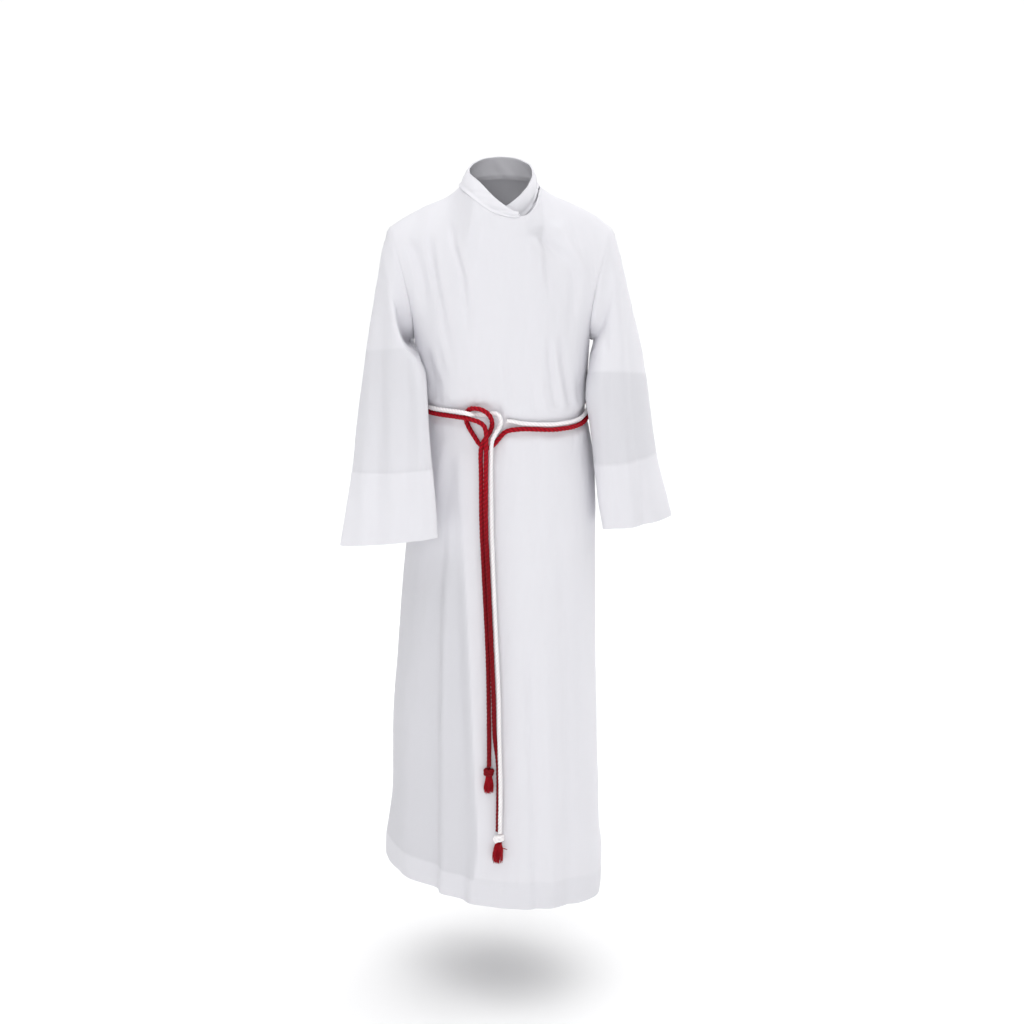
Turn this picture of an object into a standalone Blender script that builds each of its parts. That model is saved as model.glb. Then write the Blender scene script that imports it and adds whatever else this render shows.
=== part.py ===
"""A youth alb that wraps at the front, hollow as if worn, with its cincture.

Metres, +Z up. The wearer would face -Y, with the wearer's left arm at +X. The
origin is where the robe hangs from: the middle of the neck base, level with
the inner ends of the two shoulder seams.

Every cloth piece is a grid of points on the outside of the garment. The wall
is made by moving that grid in by the cloth's thickness, and neighbouring
pieces share their normals where they are sewn, so that the walls meet edge to
edge with a narrow seam gap.
"""

import math

import bpy
import numpy as np

# ---------------------------------------------------------------- sizes
CLOTH = 0.0015  # wall of the cloth pieces
COLLAR_CLOTH = 0.0022  # the band is two layers
SEAM = 0.0003  # gap between neighbouring pieces
LAP_GAP = 0.0012  # air between the outer front and the under front
HEM_Z = -1.052
ARMPIT_Z = -0.212
WAIST_Z = -0.322
CORD_D = 0.0068
WHITE_D = 0.0062
ARMHOLE_HALF_DEPTH = 0.046
NECK_S = 0.36  # share of the half front that the neckline takes

WHITE = (0.80, 0.80, 0.84)
RED = (0.36, 0.010, 0.020)
CORD_WHITE = (0.86, 0.85, 0.86)

SHOULDER_COLUMNS = 6  # columns of a panel under each shoulder seam
NECK_COLUMNS = 8  # and under the neckline
LOWER_ROWS = 14
UPPER_ROWS = 9
UNDER_FROM = -0.28  # the under front's free edge, as a share of the half front

# ---------------------------------------------------------------- sections
# The robe below the armpits, one row for each level.
# z, x of the right side, x of the left side, y there (right, left),
# depth of the front, depth of the back, roundness of the front
BODY = np.array(
    [
        # z      right    left   y_right y_left  front  back  round
        (-1.060, -0.1825, 0.1455, 0.034, -0.026, 0.128, 0.150, 1.78),
        (-1.030, -0.1820, 0.1490, 0.033, -0.025, 0.127, 0.149, 1.80),
        (-0.985, -0.1760, 0.1500, 0.028, -0.020, 0.126, 0.147, 1.86),
        (-0.935, -0.1700, 0.1440, 0.026, -0.018, 0.125, 0.144, 1.88),
        (-0.800, -0.1665, 0.1415, 0.021, -0.014, 0.121, 0.137, 1.92),
        (-0.690, -0.1575, 0.1385, 0.017, -0.010, 0.117, 0.130, 1.95),
        (-0.550, -0.1450, 0.1365, 0.012, -0.006, 0.112, 0.121, 2.00),
        (-0.430, -0.1300, 0.1350, 0.006, -0.002, 0.106, 0.110, 2.05),
        (-0.350, -0.1190, 0.1255, 0.001, 0.000, 0.1005, 0.101, 2.10),
        (-0.322, -0.1150, 0.1190, 0.000, 0.000, 0.0975, 0.098, 2.12),
        (-0.296, -0.1180, 0.1195, 0.000, 0.000, 0.1020, 0.101, 2.12),
        (-0.262, -0.1215, 0.1195, 0.000, 0.000, 0.1035, 0.102, 2.12),
        (-0.212, -0.1265, 0.1255, 0.000, 0.000, 0.1015, 0.100, 2.12),
    ]
)

# The top edge of the outer front between the two shoulder seams.
# s: -1 at the right shoulder point, +1 at the left one
NECKLINE = np.array(
    [
        # s      x        y        z
        (-0.36, -0.0585, -0.0020, -0.0015),
        (-0.24, -0.0410, -0.0450, -0.0125),
        (-0.10, -0.0150, -0.0700, -0.0290),
        (0.06, 0.0140, -0.0790, -0.0372),
        (0.17, 0.0310, -0.0770, -0.0350),
        (0.26, 0.0440, -0.0620, -0.0265),
        (0.32, 0.0500, -0.0370, -0.0150),
        (0.36, 0.0535, -0.0050, -0.0030),
    ]
)
# The same for the under front, which stands closer to the neck.
UNDER_NECKLINE = np.array(
    [
        # s      x        y        z
        (-0.30, -0.0520, -0.0660, -0.0700),
        (-0.14, -0.0240, -0.0705, -0.0560),
        (0.04, 0.0020, -0.0705, -0.0480),
        (0.16, 0.0270, -0.0640, -0.0385),
        (0.26, 0.0430, -0.0440, -0.0230),
        (0.32, 0.0480, -0.0240, -0.0110),
        (0.36, 0.0500, -0.0040, -0.0042),
    ]
)
BACK_NECKLINE = np.array(
    [
        # s      x        y       z
        (-0.36, -0.0585, -0.0020, -0.0015),
        (-0.28, -0.0500, 0.0300, 0.0015),
        (-0.14, -0.0270, 0.0540, 0.0030),
        (0.00, 0.0000, 0.0600, 0.0035),
        (0.14, 0.0270, 0.0540, 0.0025),
        (0.28, 0.0480, 0.0290, 0.0000),
        (0.36, 0.0535, -0.0050, -0.0030),
    ]
)
# Each shoulder seam, from the neck to the shoulder point.
SHOULDER_RIGHT = np.array(
    [
        # s     x        y       z
        (0.36, -0.0585, -0.0020, -0.0015),
        (0.42, -0.0680, 0.0010, -0.0105),
        (0.68, -0.1110, 0.0020, -0.0318),
        (0.86, -0.1400, 0.0010, -0.0475),
        (1.00, -0.1600, 0.0000, -0.0605),
    ]
)
SHOULDER_LEFT = np.array(
    [
        # s     x       y       z
        (0.36, 0.0535, -0.0050, -0.0030),
        (0.42, 0.0660, -0.0010, -0.0115),
        (0.62, 0.0980, 0.0010, -0.0265),
        (0.84, 0.1330, 0.0010, -0.0450),
        (1.00, 0.1560, 0.0000, -0.0625),
    ]
)

# The collar band, from its hidden left end round the neck to its right end,
# which lies over the left one: its lower edge, then its upper edge.
COLLAR = np.array(
    [
        # lower x, y, z              upper x, y, z
        (-0.0220, -0.0700, -0.0520, -0.0200, -0.0655, -0.0350),
        (0.0020, -0.0695, -0.0455, 0.0025, -0.0650, -0.0250),
        (0.0270, -0.0620, -0.0360, 0.0215, -0.0570, -0.0125),
        (0.0415, -0.0430, -0.0212, 0.0355, -0.0390, 0.0000),
        (0.0492, -0.0100, -0.0026, 0.0435, -0.0060, 0.0125),
        (0.0470, 0.0288, 0.0016, 0.0412, 0.0248, 0.0235),
        (0.0266, 0.0537, 0.0040, 0.0235, 0.0470, 0.0310),
        (0.0000, 0.0600, 0.0050, 0.0000, 0.0535, 0.0335),
        (-0.0271, 0.0537, 0.0044, -0.0240, 0.0470, 0.0320),
        (-0.0497, 0.0292, 0.0027, -0.0420, 0.0250, 0.0265),
        (-0.0579, -0.0030, 0.0000, -0.0465, -0.0030, 0.0175),
        (-0.0405, -0.0450, -0.0110, -0.0300, -0.0340, 0.0060),
        (-0.0147, -0.0696, -0.0272, -0.0110, -0.0610, -0.0105),
        (0.0120, -0.0784, -0.0354, 0.0085, -0.0735, -0.0240),
        (0.0250, -0.0789, -0.0348, 0.0225, -0.0780, -0.0310),
    ]
)
COLLAR_STEPS = 3  # points between two rows of that table

# Sleeve sections from the armhole down. The outer and the inner corner of the
# flattened tube, how far its front and its back swell out past the line
# between them, and how round it is.
SLEEVE_RIGHT = np.array(
    [
        # outer x,  y,      z        inner x,  y,      z       front  back  round
        (-0.1695, 0.000, -0.0930, -0.1330, -0.002, -0.2200, 0.0460, 0.046, 2.1),
        (-0.1790, 0.000, -0.1490, -0.1190, -0.055, -0.2320, 0.0360, 0.052, 2.0),
        (-0.1905, -0.004, -0.2100, -0.1060, -0.080, -0.2560, 0.0280, 0.056, 1.9),
        (-0.2015, -0.012, -0.2800, -0.1035, -0.092, -0.2860, 0.0200, 0.048, 1.8),
        (-0.2090, -0.032, -0.3400, -0.1010, -0.100, -0.3300, 0.0180, 0.038, 1.7),
        (-0.2145, -0.062, -0.4010, -0.0965, -0.112, -0.3840, 0.0190, 0.040, 1.65),
        (-0.2220, -0.090, -0.4500, -0.0925, -0.119, -0.4330, 0.0160, 0.042, 1.6),
        (-0.2280, -0.110, -0.4950, -0.0900, -0.124, -0.4790, 0.0140, 0.044, 1.6),
    ]
)
SLEEVE_LEFT = np.array(
    [
        # outer x,  y,      z       inner x,  y,      z        front  back  round
        (0.1675, 0.000, -0.1000, 0.1315, -0.002, -0.2200, 0.0450, 0.046, 2.1),
        (0.1800, 0.000, -0.1500, 0.1290, -0.010, -0.2290, 0.0440, 0.045, 2.0),
        (0.1945, -0.002, -0.2100, 0.1260, -0.026, -0.2520, 0.0440, 0.050, 1.95),
        (0.2065, -0.004, -0.2710, 0.1215, -0.046, -0.2920, 0.0400, 0.059, 1.9),
        (0.2165, -0.006, -0.3400, 0.1255, -0.050, -0.3480, 0.0380, 0.061, 1.85),
        (0.2255, -0.008, -0.3960, 0.1325, -0.054, -0.4030, 0.0350, 0.067, 1.8),
        (0.2365, -0.008, -0.4380, 0.1385, -0.056, -0.4480, 0.0300, 0.069, 1.75),
        (0.2470, -0.008, -0.4780, 0.1450, -0.054, -0.4860, 0.0240, 0.070, 1.7),
    ]
)
SLEEVE_STEPS = 2  # rings between two rows of those tables

# The largest folds. Each runs from a low point to a high one, as a ridge
# (depth over 0) or a trough (under 0) that is `width` to each side.
FOLDS_FRONT = np.array(
    [
        # x_low   z_low    x_high   z_high  width   depth   fade
        (-0.1240, -1.060, -0.1150, -0.560, 0.0150, -0.0090, 0.10),
        (-0.0980, -1.060, -0.0930, -0.500, 0.0130, 0.0050, 0.12),
        (-0.0360, -1.060, -0.0640, -0.380, 0.0120, 0.0045, 0.05),
        (-0.0560, -1.060, -0.0800, -0.380, 0.0130, -0.0040, 0.05),
        (0.0330, -1.060, 0.0280, -0.760, 0.0100, -0.0035, 0.10),
        (0.0950, -1.060, 0.0800, -0.600, 0.0200, 0.0040, 0.10),
        (0.1380, -1.060, 0.1330, -0.900, 0.0140, 0.0060, 0.08),
        (-0.0780, -0.235, -0.0960, -0.060, 0.0055, -0.0030, 0.03),
        (-0.0550, -0.215, -0.0720, -0.050, 0.0055, -0.0030, 0.03),
        (0.0720, -0.300, 0.0560, -0.215, 0.0110, -0.0045, 0.02),
        (0.0900, -0.220, 0.0560, -0.060, 0.0120, -0.0035, 0.03),
    ]
)
FOLDS_BACK = np.array(
    [
        # x_low   z_low    x_high   z_high  width   depth   fade
        (-0.1250, -1.060, -0.0760, -0.370, 0.0200, -0.0100, 0.06),
        (-0.0820, -1.060, -0.0480, -0.370, 0.0160, 0.0080, 0.06),
        (-0.0360, -1.060, -0.0200, -0.370, 0.0170, -0.0100, 0.06),
        (0.0120, -1.060, 0.0060, -0.370, 0.0160, 0.0070, 0.06),
        (0.0560, -1.060, 0.0330, -0.370, 0.0180, -0.0095, 0.06),
        (0.1000, -1.060, 0.0620, -0.370, 0.0170, 0.0080, 0.06),
        (0.0400, -0.290, 0.0560, -0.080, 0.0120, -0.0040, 0.04),
        (-0.0400, -0.290, -0.0580, -0.080, 0.0120, -0.0040, 0.04),
    ]
)


# ---------------------------------------------------------------- curves
def smooth(rows, at):
    """Each column of rows, read at the values in `at` of the first column,
    on a smooth curve that keeps inside the rows' own rises and falls."""
    rows = rows[np.argsort(rows[:, 0])]
    t, values = rows[:, 0], rows[:, 1:]
    step = np.diff(t)[:, None]
    rise = np.diff(values, axis=0) / step
    slope = np.zeros_like(values)
    slope[0], slope[-1] = rise[0], rise[-1]
    same = rise[:-1] * rise[1:] > 0
    mean = (rise[:-1] * step[1:] + rise[1:] * step[:-1]) / (step[1:] + step[:-1])
    least = 2 * np.minimum(abs(rise[:-1]), abs(rise[1:]))
    slope[1:-1] = np.where(same, np.sign(mean) * np.minimum(abs(mean), least), 0.0)
    at = np.clip(np.asarray(at, float), t[0], t[-1])
    i = np.clip(np.searchsorted(t, at, side="right") - 1, 0, len(t) - 2)
    h = step[i]
    u = ((at - t[i])[..., None]) / h
    return (
        (2 * u**3 - 3 * u**2 + 1) * values[i]
        + (u**3 - 2 * u**2 + u) * h * slope[i]
        + (-2 * u**3 + 3 * u**2) * values[i + 1]
        + (u**3 - u**2) * h * slope[i + 1]
    )


def through(points, count):
    """`count` points evenly along a smooth curve through these points."""
    points = np.asarray(points, float)
    gap = np.linalg.norm(np.diff(points, axis=0), axis=1) ** 0.5
    knots = np.concatenate([[0], np.cumsum(gap)])
    slope = np.gradient(points, knots, axis=0, edge_order=1)
    fine = []
    for i in range(len(points) - 1):
        h = knots[i + 1] - knots[i]
        u = np.linspace(0, 1, 24, endpoint=i == len(points) - 2)[:, None]
        fine.append(
            (2 * u**3 - 3 * u**2 + 1) * points[i]
            + (u**3 - 2 * u**2 + u) * h * slope[i]
            + (-2 * u**3 + 3 * u**2) * points[i + 1]
            + (u**3 - u**2) * h * slope[i + 1]
        )
    fine = np.concatenate(fine)
    run = np.concatenate([[0], np.cumsum(np.linalg.norm(np.diff(fine, axis=0), axis=1))])
    at = np.linspace(0, run[-1], count)
    return np.stack([np.interp(at, run, fine[:, k]) for k in range(3)], axis=1)


def between_rows(rows, steps):
    """The rows of a table with smooth ones put in between."""
    at = np.linspace(0, len(rows) - 1, (len(rows) - 1) * steps + 1)
    slope = np.gradient(rows, axis=0)
    i = np.minimum(at.astype(int), len(rows) - 2)
    u = (at - i)[:, None]
    return (
        (2 * u**3 - 3 * u**2 + 1) * rows[i]
        + (u**3 - 2 * u**2 + u) * slope[i]
        + (-2 * u**3 + 3 * u**2) * rows[i + 1]
        + (u**3 - u**2) * slope[i + 1]
    )


def ease(u):
    u = np.clip(u, 0, 1)
    return u * u * (3 - 2 * u)


def power(value, exponent):
    return np.sign(value) * abs(value) ** exponent


def row_normals(points, closed=False, sign=1.0):
    """Normals of a grid of points (rows, columns, 3)."""
    if closed:
        across = np.roll(points, -1, axis=1) - np.roll(points, 1, axis=1)
    else:
        across = np.gradient(points, axis=1)
    along = np.gradient(points, axis=0)
    normal = sign * np.cross(across, along)
    return normal / np.maximum(np.linalg.norm(normal, axis=-1, keepdims=True), 1e-12)


# ---------------------------------------------------------------- body
def ring(s, z, back=False):
    """A point of the robe's plain section at height z, below the armpits."""
    s, z = np.broadcast_arrays(s, z)
    right, left, y_right, y_left, front, rear, round_ = np.moveaxis(smooth(BODY, z), -1, 0)
    angle = s * math.pi / 2
    bend = 2 / (2.15 if back else round_)
    across = power(np.sin(angle), bend)
    middle, half = (left + right) / 2, (left - right) / 2
    depth = rear if back else -front
    side = y_right + (y_left - y_right) * (across + 1) / 2
    y = side + depth * abs(np.cos(angle)) ** bend
    return np.stack([middle + half * across, y, z], axis=-1)


def top_edge(s, neckline, under=False):
    """The upper edge of a front or back: shoulder, neckline, shoulder."""
    right = smooth(SHOULDER_RIGHT, np.abs(s))
    left = smooth(SHOULDER_LEFT, np.abs(s))
    neck = smooth(neckline, s)
    edge = np.where((s < -NECK_S)[..., None], right, left)
    return np.where((abs(s) <= NECK_S)[..., None], neck, edge)


def upper(s, q, neckline, back=False):
    """A point above the armpits: q is 0 there and 1 at the top edge."""
    s, q = np.broadcast_arrays(s, q)
    base = ring(s, np.full_like(q, ARMPIT_Z), back)
    top = top_edge(s, neckline)
    rise = (1 - np.cos(math.pi * q)) / 2
    edge = abs(s) ** 4
    x = base[..., 0] + (top[..., 0] - base[..., 0]) * rise**1.15
    x -= np.sign(s) * edge * 0.007 * np.sin(math.pi * q)
    fall = (1 - rise**2.3) ** 0.80
    y = top[..., 1] + (base[..., 1] - top[..., 1]) * fall
    out = ARMHOLE_HALF_DEPTH * np.sin(math.pi * q) * abs(s) ** 3
    y += out if back else -out
    z = base[..., 2] + (top[..., 2] - base[..., 2]) * rise
    return np.stack([x, y, z], axis=-1)


def fold_height(points, folds):
    """How far the folds move each point out."""
    total = np.zeros(points.shape[:-1])
    for x_low, z_low, x_high, z_high, width, depth, fade in folds:
        along = (points[..., 2] - z_low) / (z_high - z_low)
        line = x_low + (x_high - x_low) * along
        shape = np.exp(-(((points[..., 0] - line) / width) ** 2))
        end = ease((z_high - points[..., 2]) / fade) if z_high < -0.3 or z_low > -0.3 else 1
        start = ease((points[..., 2] - z_low) / fade) if z_low > -1.0 else 1
        total += depth * shape * end * start
    return total


def body_grid(columns, neckline, folds, back=False, lower_rows=LOWER_ROWS, upper_rows=UPPER_ROWS):
    """Rows from the hem up to the shoulder and neck, for these columns (s)."""
    near_waist = np.array([WAIST_Z - 0.028, WAIST_Z, WAIST_Z + 0.026])
    skirt = np.linspace(HEM_Z, WAIST_Z - 0.028, lower_rows - 4, endpoint=False)
    chest = np.linspace(WAIST_Z + 0.026, ARMPIT_Z, 4)[1:]
    levels = np.concatenate([skirt, near_waist, chest])
    low = ring(columns[None, :], levels[:, None], back)
    q = np.linspace(0, 1, upper_rows)[1:]
    high = upper(columns[None, :], q[:, None], neckline, back)
    points = np.concatenate([low, high])
    normal = row_normals(points, sign=-1.0 if back else 1.0)
    height = fold_height(points, folds)
    # Sewn edges stay on the seam line.
    height *= (1 - abs(columns[None, :]) ** 12)
    height[-1] = 0
    return points + normal * height[..., None], len(levels) - 1


def hem_tilt(points):
    """The hem hangs a little higher at the right side than at the left."""
    lift = np.interp(points[..., 0], [-0.19, 0.0, 0.16], [0.020, 0.0, -0.012])
    share = ease((-0.70 - points[..., 2]) / 0.35)
    points = points.copy()
    points[..., 2] += lift * share
    return points


# ---------------------------------------------------------------- sleeves
def sleeve_grid(armhole, sections):
    """Rings from the armhole loop down to the cuff. The loop's points run
    from the shoulder point down the front to the armpit and up the back."""
    count = len(armhole)
    half = count // 2
    angle = np.linspace(0, 2 * math.pi, count, endpoint=False)
    rows = np.concatenate(
        [np.arange(len(sections))[:, None].astype(float), sections], axis=1
    )
    at = np.linspace(0, len(sections) - 1, (len(sections) - 1) * SLEEVE_STEPS + 1)
    rings = [armhole]
    for row in smooth(rows, at):
        outer, inner, front, rear, round_ = row[0:3], row[3:6], row[6], row[7], row[8]
        bend = 2 / round_
        along = power(np.cos(angle), bend)
        swell = power(np.sin(angle), bend)
        point = (outer + inner) / 2 + (outer - inner) / 2 * along[:, None]
        point[:, 1] -= np.where(swell > 0, front, rear) * swell
        rings.append(point)
    assert half * 2 == count
    return np.array(rings)


# ---------------------------------------------------------------- walls
class Piece:
    """One cut piece: its outside grid and the normals that its wall follows."""

    def __init__(self, name, points, normals, closed=False, flip=False, wall=CLOTH):
        self.name, self.points, self.normals = name, points, normals
        self.closed, self.flip, self.wall = closed, flip, wall


def share_normals(pieces):
    """Where two pieces meet, both take the mean of their normals, unless the
    seam folds back on itself, as it does under the arm."""
    sums = {}
    for piece in pieces:
        for point, normal in zip(piece.points.reshape(-1, 3), piece.normals.reshape(-1, 3)):
            key = tuple(np.round(point, 6) + 0.0)
            sums[key] = sums.get(key, 0) + normal
    for piece in pieces:
        flat = piece.normals.reshape(-1, 3)
        for i, point in enumerate(piece.points.reshape(-1, 3)):
            total = sums[tuple(np.round(point, 6) + 0.0)]
            total = total / np.linalg.norm(total)
            if total @ flat[i] > 0.6:
                flat[i] = total


def pull_back(points, closed):
    """Draws a piece's edges in by half the seam gap, and a sleeve's head by
    a little more, where the armhole seam turns tightly under the arm."""
    points = points.copy()

    def inward(edge, inner, by=SEAM / 2):
        step = inner - edge
        return edge + step / np.linalg.norm(step, axis=-1, keepdims=True) * by

    points[0] = inward(points[0], points[1], SEAM * 1.5 if closed else SEAM / 2)
    points[-1] = inward(points[-1], points[-2])
    if not closed:
        points[:, 0] = inward(points[:, 0], points[:, 1])
        points[:, -1] = inward(points[:, -1], points[:, -2])
    return points


def wall_object(piece, colour=WHITE, roughness=0.75):
    """A closed wall from a piece's grid: outside, inside and rims."""
    outside = pull_back(piece.points, piece.closed)
    inside = pull_back(piece.points - piece.normals * piece.wall, piece.closed)
    rows, columns = outside.shape[:2]
    count = rows * columns
    vertices = np.concatenate([outside.reshape(-1, 3), inside.reshape(-1, 3)])
    turns = columns if piece.closed else columns - 1
    faces = []

    def index(r, c, layer):
        return layer * count + r * columns + c % columns

    for r in range(rows - 1):
        for c in range(turns):
            low, high = index(r, c, 0), index(r + 1, c + 1, 0)
            # Split the same way in every layer, so that layers stay apart.
            for face in ((low, index(r, c + 1, 0), high), (low, high, index(r + 1, c, 0))):
                faces.append(face)
                faces.append(tuple(v + count for v in reversed(face)))
    for c in range(turns):
        for r, back in ((0, False), (rows - 1, True)):
            rim = (index(r, c, 0), index(r, c, 1), index(r, c + 1, 1), index(r, c + 1, 0))
            faces.append(tuple(reversed(rim)) if back else rim)
    if not piece.closed:
        for r in range(rows - 1):
            for c, back in ((0, True), (columns - 1, False)):
                rim = (index(r, c, 0), index(r, c, 1), index(r + 1, c, 1), index(r + 1, c, 0))
                faces.append(tuple(reversed(rim)) if back else rim)
    if piece.flip:
        faces = [tuple(reversed(face)) for face in faces]
    mesh = bpy.data.meshes.new(piece.name)
    mesh.from_pydata([tuple(v) for v in vertices], [], faces)
    mesh.update()
    mesh.shade_smooth()
    mesh.set_sharp_from_angle(angle=math.radians(50))
    return add_object(piece.name, mesh, colour, roughness)


def material(name, colour, roughness):
    made = bpy.data.materials.new(name)
    made.use_nodes = True
    shader = made.node_tree.nodes["Principled BSDF"]
    shader.inputs["Base Color"].default_value = (*colour, 1)
    shader.inputs["Roughness"].default_value = roughness
    shader.inputs["Metallic"].default_value = 0.0
    return made


def add_object(name, data, colour, roughness):
    obj = bpy.data.objects.new(name, data)
    data.materials.append(material(name + "_finish", colour, roughness))
    robe.objects.link(obj)
    return obj


# ---------------------------------------------------------------- cincture
# Where the red cord runs round the waist. turn: 0 in the middle of the front,
# 1 at the left side, 2 behind, 3 at the right side, 4 in front again.
WAIST_LINE = np.array(
    [
        # turn  z
        (0.00, -0.3270),
        (0.30, -0.3315),
        (0.60, -0.3330),
        (0.85, -0.3270),
        (1.00, -0.3190),
        (1.40, -0.3090),
        (2.00, -0.3060),
        (2.60, -0.3090),
        (3.00, -0.3120),
        (3.50, -0.3135),
        (4.00, -0.3120),
    ]
)
WHITE_ABOVE = 0.0073  # how much higher the white cord runs
RED_OFF, WHITE_OFF = 0.0054, 0.0048  # how far each stands off the cloth


def lying(rows):
    """Points over the front of the robe, from x, z and how far the middle of
    the cord stands off the cloth."""
    s = np.linspace(-0.97, 0.97, 161)
    points = []
    for x, z, lift in rows:
        section = ring(s, np.full_like(s, z))
        y = np.interp(x, section[:, 0], section[:, 1])
        points.append((x, float(y) - lift, z))
    return points


def round_waist(first, last, above, stand_off, count):
    """Points round the waist from one turn to another."""
    turn = np.linspace(first, last, count)
    z = smooth(WAIST_LINE, turn)[:, 0] + above
    points = []
    for here, level in zip(turn, z):
        pair = []
        for t in (here - 0.01, here, here + 0.01):
            if t <= 1:
                pair.append(ring(t, level))
            elif t <= 3:
                pair.append(ring(2 - t, level, back=True))
            else:
                pair.append(ring(t - 4, level))
        tangent = pair[2] - pair[0]
        out = np.array([tangent[1], -tangent[0], 0.0])
        points.append(tuple(pair[1] + out / np.linalg.norm(out) * stand_off))
    return points


# Over the front of the robe: x, z, and how far the cord's middle stands off.
RED_FIRST = [
    # the shorter tail, up from its knot
    (-0.0193, -0.8250, 0.0080),
    (-0.0192, -0.7759, 0.0080),
    (-0.0206, -0.6614, 0.0085),
    (-0.0258, -0.5375, 0.0085),
    (-0.0288, -0.4636, 0.0085),
    (-0.0294, -0.3841, 0.0088),
    (-0.0298, -0.3680, 0.0108),
    (-0.0292, -0.3560, 0.0122),
    # behind the long tail and over the top of the knot
    (-0.0262, -0.3460, 0.0112),
    (-0.0215, -0.3385, 0.0082),
    (-0.0165, -0.3310, 0.0070),
    (-0.0138, -0.3220, 0.0076),
    (-0.0150, -0.3115, 0.0118),
    (-0.0200, -0.3035, 0.0130),
    (-0.0280, -0.2985, 0.0125),
    (-0.0370, -0.2975, 0.0105),
    (-0.0455, -0.3005, 0.0060),
    # round behind the waist cord and back below it
    (-0.0505, -0.3085, 0.0044),
    (-0.0500, -0.3180, 0.0044),
    (-0.0455, -0.3285, 0.0046),
    (-0.0385, -0.3395, 0.0046),
    (-0.0310, -0.3500, 0.0046),
]
RED_HOOK = [
    # under the tails and up to the waist at the right of the picture
    (-0.0215, -0.3555, 0.0046),
    (-0.0115, -0.3500, 0.0046),
    (-0.0040, -0.3410, 0.0046),
    (0.0050, -0.3320, 0.0046),
    (0.0230, -0.3285, 0.0048),
]
RED_SECOND = [
    # over the knot and down the longer tail
    (-0.0760, -0.3130, 0.0062),
    (-0.0640, -0.3122, 0.0098),
    (-0.0520, -0.3120, 0.0132),
    (-0.0410, -0.3135, 0.0152),
    (-0.0320, -0.3160, 0.0162),
    (-0.0250, -0.3215, 0.0164),
    (-0.0222, -0.3300, 0.0164),
    (-0.0220, -0.3440, 0.0170),
    (-0.0222, -0.3677, 0.0140),
    (-0.0226, -0.4616, 0.0130),
    (-0.0196, -0.5366, 0.0130),
    (-0.0146, -0.6604, 0.0130),
    (-0.0124, -0.7201, 0.0125),
    (-0.0108, -0.7805, 0.0085),
    (-0.0068, -0.8150, 0.0050),
    (-0.0058, -0.8350, 0.0046),
    (-0.0060, -0.8800, 0.0046),
    (-0.0068, -0.9268, 0.0046),
]
WHITE_FIRST = [
    # the white tail, up from the lower knot, round the side of the knot
    (-0.0035, -0.9273, 0.0112),
    (-0.0027, -0.8607, 0.0112),
    (-0.0044, -0.7743, 0.0120),
    (-0.0052, -0.7200, 0.0122),
    (-0.0073, -0.6604, 0.0122),
    (-0.0110, -0.5719, 0.0120),
    (-0.0146, -0.4619, 0.0115),
    (-0.0150, -0.3650, 0.0118),
    (-0.0138, -0.3430, 0.0140),
    (-0.0085, -0.3320, 0.0140),
    (-0.0030, -0.3230, 0.0125),
    (-0.0015, -0.3130, 0.0112),
    (-0.0060, -0.3055, 0.0085),
    (-0.0130, -0.3050, 0.0050),
    (-0.0200, -0.3080, 0.0038),
    (-0.0280, -0.3082, 0.0040),
    (-0.0360, -0.3072, 0.0075),
    (-0.0435, -0.3058, 0.0138),
    (-0.0510, -0.3044, 0.0142),
    (-0.0620, -0.3043, 0.0098),
    (-0.0760, -0.3054, 0.0056),
]
WHITE_LAST = [
    # its other end, tucked in behind the knot
    (0.0280, -0.3205, 0.0042),
    (0.0160, -0.3175, 0.0038),
    (0.0065, -0.3165, 0.0036),
]
CORD_POINTS = 80


def cord_object(name, route, diameter, colour):
    curve = bpy.data.curves.new(name, "CURVE")
    curve.dimensions = "3D"
    curve.bevel_depth = diameter / 2
    curve.bevel_resolution = 2
    curve.use_fill_caps = True
    curve.resolution_u = 1
    spline = curve.splines.new("POLY")
    spline.points.add(len(route) - 1)
    for point, place in zip(spline.points, route):
        point.co = (*place, 1)
    return add_object(name, curve, colour, 0.6)


def dense_where_bent(route, count):
    """`count` points on a smooth curve through the route, closer together
    where it turns."""
    fine = through(route, 1600)
    step = np.diff(fine, axis=0)
    length = np.linalg.norm(step, axis=1)
    tangent = step / length[:, None]
    turn = np.concatenate([[0], np.linalg.norm(np.diff(tangent, axis=0), axis=1)])
    spread = np.convolve(turn, np.ones(15) / 15, mode="same")
    weight = np.cumsum(length / 0.045 + spread / 0.30)
    weight = np.concatenate([[0], weight])
    at = np.interp(np.linspace(0, weight[-1], count), weight, np.arange(len(fine)))
    return np.stack([np.interp(at, np.arange(len(fine)), fine[:, k]) for k in range(3)], axis=1)


def turned(name, profile, place, lean, colour, stretch=1.0):
    """A turned shape: its profile from the top of the axis to the bottom."""
    mesh = bpy.data.meshes.new(name)
    points = [(r, 0.0, z) for r, z in profile]
    mesh.from_pydata(points, [(i, i + 1) for i in range(len(points) - 1)], [])
    obj = add_object(name, mesh, colour, 0.7)
    screw = obj.modifiers.new("Turn", "SCREW")
    screw.steps = screw.render_steps = 14
    screw.use_merge_vertices = True
    screw.merge_threshold = 0.00001
    screw.use_smooth_shade = True
    obj.location = place
    obj.rotation_euler = (0, lean, 0)
    obj.scale = (1, stretch, 1)
    return obj


KNOT_UPPER = ((-0.0196, -0.8336), 0.0080, 0.0150, 0.0072)  # (x, z), half width, height, lift
KNOT_LOWER = ((-0.0055, -0.9368), 0.0084, 0.0160, 0.0078)
TASSEL_UPPER = (0.0275, 0.0072)  # length, half width at the bottom
TASSEL_LOWER = (0.0330, 0.0072)


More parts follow.
